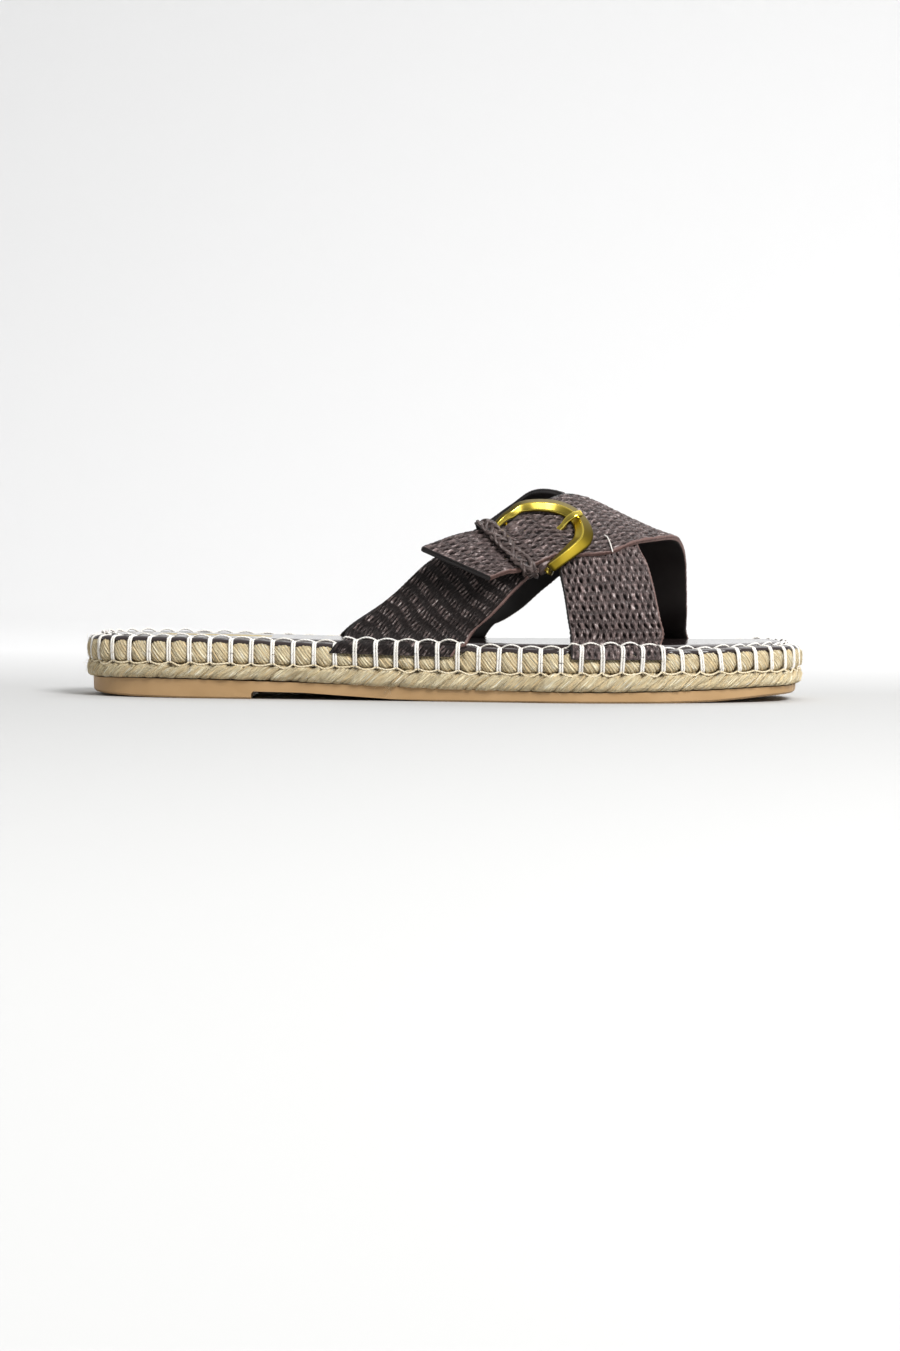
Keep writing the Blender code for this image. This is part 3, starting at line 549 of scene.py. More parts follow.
rubberPaint = makeRubberPaint()
goldPaint = grainPaint("yellow plating", (0.80, 0.62, 0.10, 1), (0.86, 0.69, 0.15, 1),
                       scale=160.0, bumpHeight=0.01, roughness=0.16, Metallic=1.0)


def makeFacetPaint():
    # plating, darker and rougher where "tone" is low, brighter and smoother where it is high; here
    # "tone" is painted light: the dark colour is painted reflection and shade, only the roughness
    # is finish
    paint, tree, shader = newPaint("plating with painted facet shade", Metallic=1.0)
    tone = field(tree, "tone")
    wire(tree, shader.inputs["Base Color"],
         blendColour(tree, tone, (0.10, 0.072, 0.007, 1), (0.74, 0.575, 0.10, 1)))
    wire(tree, shader.inputs["Roughness"], spread(tree, tone, 0.0, 1.0, 0.44, 0.16))
    return paint


facetPaint = makeFacetPaint()
foilPaint = grainPaint("gold foil", (0.62, 0.48, 0.20, 1), (0.70, 0.56, 0.26, 1),
                       scale=2500.0, bumpHeight=0.01, roughness=0.33, Metallic=1.0)


def makeThreadPaint(name, dimmer, bright, groove):
    # two plies wound round each other: |sine of (turn + part of the length)|, dark between plies
    paint, tree, shader = newPaint(name, Roughness=0.75)
    apart = addNode(tree, "ShaderNodeSeparateXYZ", {0: pieceUv(tree)})
    turn = calc(tree, "ADD", apart.outputs[0], calc(tree, "MULTIPLY", apart.outputs[1], 0.42))
    ply = calc(tree, "ABSOLUTE", calc(tree, "SINE", calc(tree, "MULTIPLY", turn, 2 * math.pi)))
    white = blendColour(tree, field(tree, "tone"), dimmer, bright)
    shaded = blendColour(tree, spread(tree, ply, 0.0, 0.45), groove, white)
    wire(tree, shader.inputs["Base Color"], shaded)
    raiseGrain(tree, shader, ply, 0.14)
    return paint


threadPaint = makeThreadPaint("off-white thread", (0.87, 0.82, 0.73, 1), (0.96, 0.945, 0.915, 1),
                              (0.76, 0.70, 0.60, 1))
slackPaint = makeThreadPaint("straw-stained thread", (0.78, 0.66, 0.44, 1),
                             (0.92, 0.85, 0.68, 1), (0.60, 0.47, 0.28, 1))
print("finishes ready")

# sole: outsole, two jute braids, insole

outsoleLook = {"mergeMetres": 1e-6, "flatAngle": 2.0, "bevel": 0.3, "bevelAngle": 30.0,
               "segments": 2, "smoothAngle": 38.0}
braidShape = {
    "columnsPerStitch": 32, "outerRows": 20, "innerRows": 8, "outerTurn": 0.55,
    "roundness": 0.74, "depth": 9.0,
    # how far in the rounded outside reaches, unevenness of the yarns, half width of a stitch hole
    # at the seam (dented, and darkened as painted shade), step of v from row to row
    "reach": 3.2, "fuzz": 0.13, "stitchHoleWide": 1.1, "rowStep": 0.45,
    # the lower braid's tones start higher: painted light standing in for light bounced up from the
    # floor
    "lower": {"outside": 0.1, "slant": 3.6, "lift": (0.25, 0.15), "squeeze": 0.35,
              "lobes": 92, "lobe": 1.7, "lobePower": 3.2, "lobeDepths": (0.45, 1.0),
              "yarns": 5.6, "yarnHeight": 0.30, "tones": (0.3, 1.0), "rises": (-0.16, 0.16),
              "stitchHoleSunk": 0.7, "stitchHoleShade": 0.85},
    "upper": {"outside": 0.0, "slant": -2.9, "lift": (-0.25, -1.75), "squeeze": 0.7,
              "pinch": 1.65, "pillowPower": 0.72, "sizes": (-0.18, 0.18), "footRecess": 1.4,
              "yarns": 6.2, "yarnHeight": 0.30, "tones": (0.0, 1.0), "rises": (-0.14, 0.14),
              "stitchHoleShade": 0.7},
    # filling: inset, layer and height over it
    "core": ((8.6, "outsole", 0.35), (8.4, "seam", 0.0), (8.6, "jute", -0.1)),
    "coreColumns": 160,
}


def dressOutsole(values):
    # the solid's own mesh with its flat faces merged and its edges softened, so its form is kept
    node = bpy.data.objects["outsole"]
    work = bmesh.new()
    work.from_mesh(node.data)
    bmesh.ops.remove_doubles(work, verts=work.verts, dist=values["mergeMetres"])
    bmesh.ops.dissolve_limit(work, angle_limit=math.radians(values["flatAngle"]),
                             verts=work.verts, edges=work.edges)
    mesh = bpy.data.meshes.new("outsole_rubber")
    work.to_mesh(mesh)
    work.free()
    mesh.materials.append(rubberPaint)
    piece = newObject("outsole_rubber", mesh)
    bevel = piece.modifiers.new("soft edge", "BEVEL")
    bevel.width = values["bevel"] * mm
    bevel.segments = values["segments"]
    bevel.limit_method = "ANGLE"
    bevel.angle_limit = math.radians(values["bevelAngle"])
    smoothFaces(mesh)
    mesh.set_sharp_from_angle(angle=math.radians(values["smoothAngle"]))
    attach(piece, "root")
    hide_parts("outsole")


def braidAngles(values):
    # turns round a braid's section: many on the outside, few on the hidden inside
    end = values["outerTurn"]
    outer = np.linspace(-end, end, values["outerRows"]) * math.pi
    inner = np.linspace(end, 2 - end, values["innerRows"] + 2)[1:-1] * math.pi
    return np.concatenate([outer, inner])


def braidGrid(values, part, low, high):
    # section of a rounded cord, its columns leaning with the yarns: arc shifts by slant * height
    turns = braidAngles(values)
    columns = stitch["count"] * values["columnsPerStitch"]
    level = signedPower(np.sin(turns), values["roundness"])[:, None]
    outward = signedPower(np.cos(turns), values["roundness"])[:, None]
    arc = np.arange(columns)[None, :] * girth / columns + part["slant"] * np.clip(level, -1, 1)
    x = outlineAt(arc)[0][..., 0]
    return arc, level, outward, levelAt(low, x) + part["lift"][0], \
        levelAt(high, x) + part["lift"][1]


def braidYarns(part, strands, draw):
    # yarn = |cos(pi * strands)| ^ 0.8; each yarn has a tone and a rise of its own
    drawn = 2000
    index = np.floor(strands + 0.5).astype(int) % drawn
    tone = draw.uniform(*part["tones"], drawn)[index]
    rise = draw.uniform(*part["rises"], drawn)[index]
    return np.abs(np.cos(math.pi * strands)) ** 0.8, tone, rise


def rimUv(rows, columns, step):
    # u in millimetres along the rim, v one step further at each row
    return np.meshgrid(np.arange(columns + 1) * girth / columns, np.arange(rows) * step)


def finishBraid(name, values, part, grid, puff, shade, tone, recess=0.0):
    # inset = outside + reach * (1 - outward) + recess - puff; on the hidden inside it runs on to
    # the braid's depth and the puff fades out
    arc, level, outward, low, high = grid
    seen = np.clip(outward * 2.2 + 0.35, 0, 1)
    reach = values["reach"]
    inset = part["outside"] + np.where(outward > 0, reach * (1 - outward),
                                       reach - (values["depth"] - reach) * outward)
    inset = inset + recess - puff * seen
    place, normal = outlineAt(arc)
    height = (low + high) / 2 + (high - low) / 2 * level + part["squeeze"] * puff * level * seen
    points = np.concatenate([place - normal * inset[..., None], height[..., None]], axis=-1)
    rows, columns = arc.shape
    quads, i, j = gridQuads(rows, columns, closeRows=True, closeCols=True)
    u, v = rimUv(rows + 1, columns, values["rowStep"])
    makePiece(name, points, quads, (), cornerUv(u, v, i, j),
              {"tone": tone, "shade": np.clip(shade, 0, 1)}, (jutePaint,), None, "jute",
              ("jute_midsole",))


def stitchHoleAtSeam(values, arc, level):
    # stitch holes where the thread enters the seam, for a dent and for painted shade: falls off as
    # exp(-d^2) from each stitch, only close to the middle seam
    phase = stitchPhase(arc)
    away = np.abs(phase - np.round(phase)) * pitch
    return np.exp(-(away / values["stitchHoleWide"]) ** 2) * np.clip((level - 0.3) / 0.4, 0, 1)


def makeLowerBraid(values):
    # leaning lobes of several yarns: lobe = 1 - depth * (1 - sqrt(1 - |2 * share - 1| ^ power)),
    # with a depth drawn for each edge between two lobes
    part = values["lower"]
    grid = braidGrid(values, part, "outsole", "seam")
    arc, level = grid[:2]
    lane = (arc - part["slant"] * level) / girth
    place = lane * part["lobes"] + 0.30 * ripple(lane, 0 * lane, 5, 6, 80) \
        + 0.10 * ripple(lane, level, 9, 6, 110)
    index = np.floor(place).astype(int)
    share = place - index
    draw = np.random.default_rng(31)
    drawn = 400
    depths = draw.uniform(*part["lobeDepths"], drawn)
    edge = depths[np.where(share < 0.5, index, index + 1) % drawn]
    lobe = np.sqrt(np.clip(1 - np.abs(2 * share - 1) ** part["lobePower"], 0, 1))
    lobe = 1 - edge * (1 - lobe)
    strands = place * part["yarns"] + 0.10 * ripple(lane, level, 3, 7, 120)
    yarn, tone, rise = braidYarns(part, strands, draw)
    puff = part["lobe"] * (lobe - 1) + part["yarnHeight"] * (yarn - 1) + rise \
        + values["fuzz"] * ripple(lane, level, 12, 9, 420, 7.0)
    # the edges between lobes open towards the seam
    puff = puff - edge * np.clip(level - 0.1, 0, 1) * (1 - lobe)
    stitchHole = stitchHoleAtSeam(values, arc, level)
    puff = puff - part["stitchHoleSunk"] * stitchHole
    shade = 0.3 + 0.7 * lobe ** 1.1 * (0.46 + 0.54 * yarn)
    # painted shade: darker towards the cord's top and bottom and in the stitch holes at the seam
    shade = shade * np.clip(1.55 - np.abs(level) * 0.8, 0.2, 1) * (1 - part["stitchHoleShade"] * stitchHole)
    finishBraid("jute_braid_lower", values, part, grid, puff, shade, tone)


def makeUpperBraid(values):
    # one pillow between two stitch bars, |sin(pi * phase)| ^ power, its yarns leaning back
    part = values["upper"]
    grid = braidGrid(values, part, "seam", "stitched")
    arc, level = grid[:2]
    lane = (arc - part["slant"] * level) / girth
    phase = stitchPhase(arc)
    pillow = np.abs(np.sin(math.pi * phase)) ** part["pillowPower"]
    draw = np.random.default_rng(47)
    strands = lane * stitch["count"] * part["yarns"] + 0.14 * ripple(lane, level, 21, 7, 120)
    yarn, tone, rise = braidYarns(part, strands, draw)
    size = draw.uniform(*part["sizes"], 400)[np.floor(phase).astype(int) % 400]
    puff = part["pinch"] * (pillow - 1) + part["yarnHeight"] * (yarn - 1) + rise + size * pillow \
        + values["fuzz"] * ripple(lane, level, 14, 9, 420, 7.0)
    shade = (0.4 + 0.6 * pillow ** 0.8) * (0.25 + 0.75 * yarn)
    shade = shade * np.clip(1.6 - np.abs(level) * 0.8, 0.25, 1)
    # painted shade in the stitch holes at the seam
    shade = shade * (1 - part["stitchHoleShade"] * stitchHoleAtSeam(values, arc, -level))
    recess = part["footRecess"] * underStrap(arc, 0.6) * np.clip((level + 0.1) / 0.35, 0, 1)
    finishBraid("jute_braid_upper", values, part, grid, puff, shade, tone, recess)


def makeJuteCore(values):
    # the coiled filling inside the braids, seen by nobody: a closed flat body
    rings, columns = values["core"], values["coreColumns"]
    arc = np.arange(columns) * girth / columns
    points = np.stack([rimPoints(arc, *ring) for ring in rings])
    quads, i, j = gridQuads(len(rings), columns, closeCols=True)
    u = rimUv(len(rings), columns, 0.0)[0]
    last = (len(rings) - 1) * columns
    plain = np.ones(points.shape[:2])
    makePiece("jute_core", points, quads, stripCap(0, columns) + stripCap(last, columns),
              cornerUv(u, u * 0.05, i, j), {"tone": 0.5 * plain, "shade": 0.6 * plain},
              (jutePaint,), None, "jute", ("jute_midsole",))


def stripCap(start, count):
    # a ring closed by strips across the shoe, toe tip first
    half = count // 2
    ends = [[start, start + 1, start + count - 1], [start + half - 1, start + half,
                                                    start + half + 1]]
    strips = [[start + i, start + i + 1, start + count - i - 1, start + count - i]
              for i in range(1, half - 1)]
    return [ends[0]] + strips + [ends[1]]


dressOutsole(outsoleLook)
makeLowerBraid(braidShape)
makeUpperBraid(braidShape)
makeJuteCore(braidShape)
print("sole and braids made")

insoleShape = {
    "columnsPerStitch": 12,
    # inset, layer, height over it, share of the pad's swell
    "rows": ((3.4, "stitched", -3.0, 0.0), (2.2, "stitched", -3.0, 0.0),
             (1.8, "stitched", -2.7, 0.4), (1.55, "stitched", -2.1, 0.9),
             (1.6, "stitched", -1.7, 1.0), (1.95, "stitched", -1.35, 0.9),
             (2.5, "stitched", -1.15, 0.9), (3.4, "stitched", -1.0, 1.0),
             (4.4, "stitched", -0.95, 1.0), (5.4, "stitched", -1.0, 0.8),
             (6.2, "stitched", -1.1, 0.5), (6.7, "stitched", -1.25, 0.1),
             (7.0, "stitched", -1.5, 0.0), (7.4, "stitched", -1.0, 0.0),
             (8.3, "insole", -0.25, 0.0), (10.5, "insole", 0.0, 0.0)),
    "swellOut": 0.6, "swellUp": 0.4, "padPower": 0.6, "padSunk": 0.15, "rowStep": 0.7,
    # how far each of the last rows has closed on the middle line, and the dome over them
    "closing": (0.2, 0.42, 0.64, 0.86), "dome": (0.1, -0.2),
}


def makeInsole(values):
    # ring rows round the rim, pads swelling between the stitches, then rows closing on the middle
    columns = stitch["count"] * values["columnsPerStitch"]
    arc = np.arange(columns) * girth / columns
    pad = betweenStitches(arc) ** values["padPower"] * (1 - underStrap(arc)) - values["padSunk"]
    rings = []
    for inset, layer, above, swell in values["rows"]:
        outwards = values["swellOut"] * swell * pad * np.clip((4.0 - inset) / 2.0, 0, 1)
        upwards = values["swellUp"] * swell * pad * np.clip((inset - 1.5) / 1.2, 0, 1)
        rings.append(rimPoints(arc, inset - outwards, layer, above + upwards))
    last = rings[-1]
    middle = (last + last[(-np.arange(columns)) % columns]) / 2
    for share in values["closing"]:
        ring = last * (1 - share) + middle * share
        ring[:, 2] = levelAt("insole", ring[:, 0]) + values["dome"][0] + values["dome"][1] * share
        rings.append(ring)
    quads, i, j = gridQuads(len(rings), columns, closeCols=True)
    u, v = rimUv(len(rings), columns, values["rowStep"])
    caps = stripCap(0, columns) + stripCap((len(rings) - 1) * columns, columns)
    makePiece("insole_leather", np.stack(rings), quads, caps, cornerUv(u, v, i, j), None,
              (insolePaint,), None, "leather", ("insole",))


makeInsole(insoleShape)

# foil mark on the heel of the insole: a plain line frame round a two-strand plait

markShape = {"middle": (-86.0, 0.0), "long": 41.6, "wide": 10.6, "plait": 2.5, "turns": 6.5,
             "plaitLong": 34.0, "line": 0.6, "sunk": 0.93}


def makeMark(values):
    # each line is a thin tube sunk in the leather; plait: y = +/- plait * cos(turn)
    share = np.linspace(-0.5, 0.5, 110)
    long, wide = values["long"], values["wide"]
    lines = [(share * long, 0 * share + wide / 2), (share * long, 0 * share - wide / 2),
             (0 * share + long / 2, share * wide), (0 * share - long / 2, share * wide)]
    turn = share * 2 * math.pi * values["turns"]
    for way in (1, -1):
        lines.append((share * values["plaitLong"], way * values["plait"] * np.cos(turn)))
    x = np.array([line[0] for line in lines]) + values["middle"][0]
    y = np.array([line[1] for line in lines]) + values["middle"][1]
    path = np.stack([x, y, levelAt("insole", x) - values["line"] * values["sunk"]], axis=-1)
    makeTubes("foil_mark", path, values["line"], (0.0, 0.0, 1.0), 8, paints=(foilPaint,),
              slot="foil")


makeMark(markShape)
print("insole made")

# edge stitching: a double bar at every stitch, an arc between two bars, a slack loop below

threadShape = {
    "radius": 0.41, "spacing": 0.44, "sides": 8, "perSpan": 4, "arcPoints": 15,
    # seam ends lean towards the toe, from one x over a length of the sole
    "lean": 0.35, "toeLean": 1.5, "toeFrom": 70.0, "toeOver": 35.0,
    # inset, layer and height of a bar over the bare rim, and over a strap's foot
    "openBar": ((1.9, "seam", -0.1), (1.0, "seam", 0.9), (0.75, "seam", 2.6),
                (0.7, "seam", 3.9), (0.85, "stitched", -2.9), (1.15, "stitched", -2.1),
                (1.75, "stitched", -1.35), (3.0, "stitched", -1.05), (4.6, "stitched", -0.95),
                (6.0, "stitched", -1.0), (6.9, "stitched", -1.7)),
    "footBar": ((1.9, "seam", -0.1), (1.05, "seam", 0.9), (0.65, "seam", 2.4),
                (0.0, "stitched", -4.2), (-0.05, "stitched", -2.8), (0.05, "stitched", -1.1),
                (0.75, "stitched", -0.1), (2.0, "stitched", 0.3), (3.6, "stitched", 0.5),
                (5.0, "stitched", 0.5), (5.9, "stitched", -0.1)),
    # arc between two bars: inset and height, each with its change on a foot, and its hump
    "arc": {"inset": 6.7, "footInset": -1.1, "above": -1.25, "footAbove": 1.35,
            "hump": 0.95, "humpIn": -1.2, "humpPower": 0.8, "rise": (1.05, 1.75), "thin": 0.85},
    # slack loop along the seam
    "loop": {"radius": 0.34, "inset": 1.25, "outwards": 0.5, "above": 0.35, "sag": (0.6, 1.7),
             "skew": (0.6, 1.5)},
}


def threadPaths(values, arcs, offsets):
    # the two bar lines blended by how much a strap foot covers the rim, offset along the rim
    cover = underStrap(arcs, 0.4)[:, None]
    last = offsets.shape[1] - 1
    paths = []
    for key, weight in (("openBar", 1 - cover), ("footBar", cover)):
        rows = [rimPoints(arcs + offsets[:, min(k, last)], *row)
                for k, row in enumerate(values[key])]
        paths.append(np.stack(rows, axis=1) * weight[..., None])
    return sum(paths)


def smoothPaths(paths, perSpan):
    # one spline through every path at once, keys on the first axis
    return np.swapaxes(spline(np.swapaxes(paths, 0, 1), perSpan), 0, 1)


def makeBars(values, draw):
    # a double bar at each stitch, its seam end at lean + toe lean * change of x along the rim
    count = stitch["count"]
    place = outlineAt(stitchArcs)[0][..., 0]
    ahead = (outlineAt(stitchArcs + 1.0)[0][..., 0] - outlineAt(stitchArcs - 1.0)[0][..., 0]) / 2
    toeShare = np.clip((place - values["toeFrom"]) / values["toeOver"], 0, 1)
    lean = draw.uniform(-values["lean"], values["lean"], count) \
        + values["toeLean"] * toeShare * ahead
    bars, tones = [], []
    for side in (-1, 1):
        start = lean + side * values["spacing"] * draw.uniform(0.9, 1.15, count)
        end = side * values["spacing"] * draw.uniform(0.85, 1.1, count)
        bars.append(threadPaths(values, stitchArcs, np.linspace(start, end, 6, axis=1)))
        tones.append(draw.uniform(0.3, 1, count))
    paths = smoothPaths(np.concatenate(bars), values["perSpan"])
    makeTubes("stitch_bars", paths, values["radius"], (0.0, 0.0, 1.0), values["sides"],
              fields={"tone": np.concatenate(tones)}, paints=(threadPaint,), slot="thread")


def makeStitchArcs(values, arcs, share, draw):
    # arcs along the stitch line: above + rise * sin(pi * share) ^ power, each with its own rise
    shape = values["arc"]
    rise = draw.uniform(*shape["rise"], stitch["count"])
    cover = underStrap(arcs, 0.4)
    hump = np.sin(math.pi * share) ** shape["humpPower"]
    inset = shape["inset"] + shape["footInset"] * cover + shape["humpIn"] * hump
    above = shape["above"] + shape["footAbove"] * cover + rise[:, None] * hump * shape["hump"]
    makeTubes("stitch_arcs", rimPoints(arcs, inset, "stitched", above),
              values["radius"] * shape["thin"], (0.0, 0.0, 1.0), values["sides"],
              fields={"tone": draw.uniform(0.3, 1, stitch["count"])}, paints=(threadPaint,),
              slot="thread")


def makeSeamLoops(values, arcs, share, draw):
    # slack loops along the middle seam: they hang by sag * sin(pi * share ^ skew)
    shape, count = values["loop"], stitch["count"]
    sag = draw.uniform(*shape["sag"], count)
    hang = np.sin(math.pi * share[None, :] ** draw.uniform(*shape["skew"], count)[:, None])
    path = rimPoints(arcs, shape["inset"] - shape["outwards"] * hang, "seam",
                     shape["above"] - sag[:, None] * hang)
    makeTubes("seam_loops", path, shape["radius"], (0.3, 0.2, 1.0), 6,
              fields={"tone": draw.uniform(0, 0.5, count)}, paints=(slackPaint,),
              slot="thread")


def makeStitching(values):
    draw = np.random.default_rng(8)
    makeBars(values, draw)
    share = np.linspace(0.0, 1.0, values["arcPoints"])
    nextArcs = np.append(stitchArcs[1:], stitchArcs[0] + girth)
    arcs = np.mod(stitchArcs[:, None] * (1 - share) + nextArcs[:, None] * share, girth)
    makeStitchArcs(values, arcs, share, draw)
    makeSeamLoops(values, arcs, share, draw)


makeStitching(threadShape)
print("edge stitching made")

# arch that the straps follow: girth 0 at the lateral stitch line, 3 at the crown, 6 medial

archShape = {
    # x, y0, y1, z1, y2, z2, y3, z3, y4, z4, y5, z5, y6
    "cuts": ((-45.0, -32.8, -32.2, 27.0, -31.2, 33.0, -3.0, 46.0, 18.8, 33.0, 22.6, 27.0, 25.4),
             (-20.0, -35.9, -33.8, 30.5, -29.7, 42.0, -4.0, 60.0, 18.2, 40.5, 21.6, 30.5, 25.4),
             (0.0, -38.6, -36.6, 34.0, -29.3, 53.5, -2.0, 70.0, 23.6, 55.5, 30.2, 36.0, 30.4),
             (15.0, -40.3, -39.2, 34.0, -31.8, 56.0, 0.0, 75.6, 20.8, 64.8, 35.4, 38.0, 33.6),
             (30.0, -41.9, -41.3, 35.0, -34.4, 56.5, 3.0, 80.6, 26.5, 66.0, 39.6, 40.0, 37.2),
             (40.0, -42.8, -42.0, 36.0, -34.0, 57.0, 2.0, 77.8, 26.8, 65.0, 39.3, 42.5, 38.8),
             (50.0, -43.4, -42.5, 36.0, -33.5, 55.5, 0.0, 73.6, 25.5, 60.5, 36.8, 42.0, 40.6),
             (60.0, -43.2, -42.0, 36.0, -32.0, 54.0, -2.0, 69.2, 21.5, 56.0, 32.6, 37.0, 41.6),
             (70.0, -41.6, -40.5, 35.0, -30.0, 52.0, -3.0, 64.5, 18.6, 52.5, 30.6, 35.0, 42.3),
             (80.0, -38.9, -38.0, 34.0, -27.0, 50.0, -4.0, 60.4, 17.0, 50.0, 29.6, 34.0, 42.6),
             (93.0, -34.2, -33.5, 33.0, -24.0, 47.0, -5.0, 57.2, 16.5, 47.5, 28.6, 33.0, 41.0)),
    "foot": 2.6,
}
archCuts = np.array(archShape["cuts"])
archSlopes = np.gradient(archCuts, archCuts[:, 0], axis=0)


def hermite(u, first, firstSlope, last, lastSlope):
    # cubic through both ends with the given slopes over the span
    return ((2 * u ** 3 - 3 * u ** 2 + 1) * first + (u ** 3 - 2 * u ** 2 + u) * firstSlope
            + (3 * u ** 2 - 2 * u ** 3) * last + (u ** 3 - u ** 2) * lastSlope)


def archBase(x, turn):
    # cut of the arch at x blended between the table's cuts, then a curve through its seven points
    x, turn = np.broadcast_arrays(np.asarray(x, float), np.asarray(turn, float))
    stations = archCuts[:, 0]
    held = np.clip(x, stations[0], stations[-1])
    i = np.clip(np.searchsorted(stations, held) - 1, 0, len(stations) - 2)
    step = stations[i + 1] - stations[i]
    u = ((held - stations[i]) / step)[..., None]
    cut = hermite(u, archCuts[i], step[..., None] * archSlopes[i], archCuts[i + 1],
                  step[..., None] * archSlopes[i + 1])
    foot = levelAt("insole", held) + archShape["foot"]
    knots = [np.stack([cut[..., 1], foot], -1)] + [cut[..., k:k + 2] for k in (2, 4, 6, 8, 10)]
    knots.append(np.stack([cut[..., 12], foot], -1))
    knots = [2 * knots[0] - knots[1]] + knots + [2 * knots[-1] - knots[-2]]
    knots = np.stack(knots, axis=-2)
    turn = np.clip(turn, 0.0, 6.0)
    k = np.minimum(turn.astype(int), 5)
    u = (turn - k)[..., None]
    p0, p1, p2, p3 = (np.take_along_axis(knots, (k + n)[..., None, None], axis=-2)[..., 0, :]
                      for n in range(4))
    h0, h1, h2 = (np.linalg.norm(b - a, axis=-1, keepdims=True)
                  for a, b in ((p0, p1), (p1, p2), (p2, p3)))
    m1 = ((p1 - p0) / h0 * h1 + (p2 - p1) / h1 * h0) / (h0 + h1)
    m2 = ((p2 - p1) / h1 * h2 + (p3 - p2) / h2 * h1) / (h1 + h2)
    flat = hermite(u, p1, h1 * m1, p2, h1 * m2)
    return np.concatenate([x[..., None], flat], axis=-1)


def archPoint(x, turn, lift):
    # point of the arch lifted along its outward normal
    x, turn = np.asarray(x, float), np.asarray(turn, float)
    along = archBase(x + 0.5, turn) - archBase(x - 0.5, turn)
    across = archBase(x, turn + 0.05) - archBase(x, turn - 0.05)
    return archBase(x, turn) + np.asarray(lift)[..., None] * unit(np.cross(along, across))


# straps: rows from foot to foot, each a rear and a front end on the arch

strapShape = {
    "columns": 17, "perSpan": 36, "footThickness": 1.05, "normalColumns": 65,
    "liningColumns": 9, "margin": 0.7,
    # edge from the face to the lining: push outwards and share of the depth, and its waviness
    "edge": ((-0.28, -0.02), (0.04, 0.16), (0.12, 0.36), (-0.25, 0.5), (0.10, 0.62),
             (0.06, 0.80), (-0.1, 0.93)),
    "edgeWave": 0.12, "hemFade": 1.2, "rimBare": 0.35, "rimFade": 0.6,
    # offsets of u and v that keep the pieces' streaks apart, and step of u over the edges
    "uvAside": 60.0, "uvApart": 40.0, "uvEdge": 0.6,
    # rings that close an end: push outwards and share of the half thickness, innermost first
    "closing": ((0.16, 0.86), (0.24, 0.5), (-0.28, 0.06)),
    # feet: how far in the stitches pull them and over what length the pull fades, depth of the
    # nip at a bar, rise between two bars, and share of the weave's relief that is lost
    "pullLong": 13.0, "pullFade": 2.5, "nip": 0.62, "puff": 0.25, "pressed": 0.45,
    # inset and height of a wrapped foot, from its hem to the stitch line
    "foot": ((-0.1, -4.3), (-0.2, -2.5), (0.25, -0.75), (1.5, 0.1), (3.4, 0.4), (5.3, 0.6)),
    # rear x, rear girth, front x, front girth, lift, bow, thickness
    "under": ((45.2, 0.12, 79.6, 0.12, 0.0, 1.0, 1.8), (44.3, 0.52, 78.4, 0.62, 0.0, 1.0, 2.0),
              (42.8, 1.18, 76.2, 1.37, 0.0, 1.0, 2.0), (41.0, 1.64, 73.8, 1.95, 0.0, 1.0, 2.0),
              (40.6, 2.10, 71.0, 2.25, 0.0, 1.0, 2.0), (42.0, 2.55, 70.0, 2.62, 0.0, 1.0, 2.0),
              (43.2, 3.00, 69.6, 3.06, 0.0, 1.0, 2.0), (37.2, 3.16, 67.0, 3.52, 0.0, 1.0, 2.0),
              (31.0, 3.38, 60.6, 3.95, 0.0, 1.0, 2.0), (24.0, 3.66, 51.0, 4.50, 0.0, 1.0, 2.0),
              (13.5, 3.98, 38.6, 5.07, 0.0, 1.0, 2.0), (2.5, 4.00, 29.6, 5.44, 0.0, 1.0, 2.0),
              (-9.0, 4.05, 23.6, 5.67, 0.0, 1.0, 2.0), (-22.5, 4.38, 19.8, 5.80, 0.0, 1.0, 1.9),
              (-35.5, 5.40, 17.6, 5.88, 0.0, 1.0, 1.7)),
    "over": ((57.2, 5.88, 92.2, 5.88, 0.0, 1.0, 1.8), (60.0, 5.36, 91.8, 5.10, 0.0, 1.0, 2.0),
             (62.0, 4.70, 91.0, 4.34, 0.6, 1.0, 2.0), (61.0, 4.10, 90.0, 3.78, 1.6, 1.0, 2.0),
             (58.6, 3.59, 88.0, 3.38, 1.9, 1.0, 2.0), (54.2, 3.12, 84.6, 2.95, 1.9, 1.0, 2.0),
             (49.0, 2.88, 76.3, 2.49, 1.9, 1.0, 2.0), (42.6, 2.68, 68.4, 2.24, 1.9, 1.0, 2.0),
             (36.8, 2.50, 59.5, 1.99, 1.9, 1.0, 2.0), (31.0, 2.40, 49.6, 1.85, 2.0, 0.9, 2.0),
             (26.0, 2.29, 40.4, 1.785, 2.5, 0.3, 2.0), (23.0, 2.18, 36.2, 1.70, 3.0, 0.0, 2.0),
             (16.8, 2.16, 31.0, 1.605, 4.1, 0.0, 2.0), (13.2, 2.145, 27.9, 1.55, 4.5, 0.0, 2.0)),
    "rear": ((-36.5, 0.20, 9.9, 0.14, 0.0, 1.0, 1.8), (-29.0, 1.20, 14.7, 0.57, 0.0, 1.0, 2.0),
             (-18.5, 1.72, 19.6, 1.02, 0.0, 1.0, 2.0), (-7.0, 2.02, 25.0, 1.27, 0.0, 1.0, 2.0),
             (6.0, 2.13, 28.6, 1.42, 0.0, 0.6, 2.0), (16.8, 2.16, 31.4, 1.545, 0.0, 0.0, 2.0),
             (23.0, 2.18, 36.4, 1.62, 0.0, 0.0, 2.0)),
    # a spare hole and the one that the prong goes through: spot and radius
    "holes": (((33.1, -33.0, 62.3), 0.75), ((42.4, -30.3, 64.0), 1.3)), "holeDeep": 1.3,
    # rear end and front end of the free end's rows
    "tail": ((4.0, -37.0, 61.2, 23.0, -45.4, 48.2, 2.3),
             (-8.7, -44.6, 56.6, 16.2, -48.6, 45.8, 2.9)),
    # how much wider each end of the rear leg's hem is
    "rearFlare": (4.6, -4.6),
}
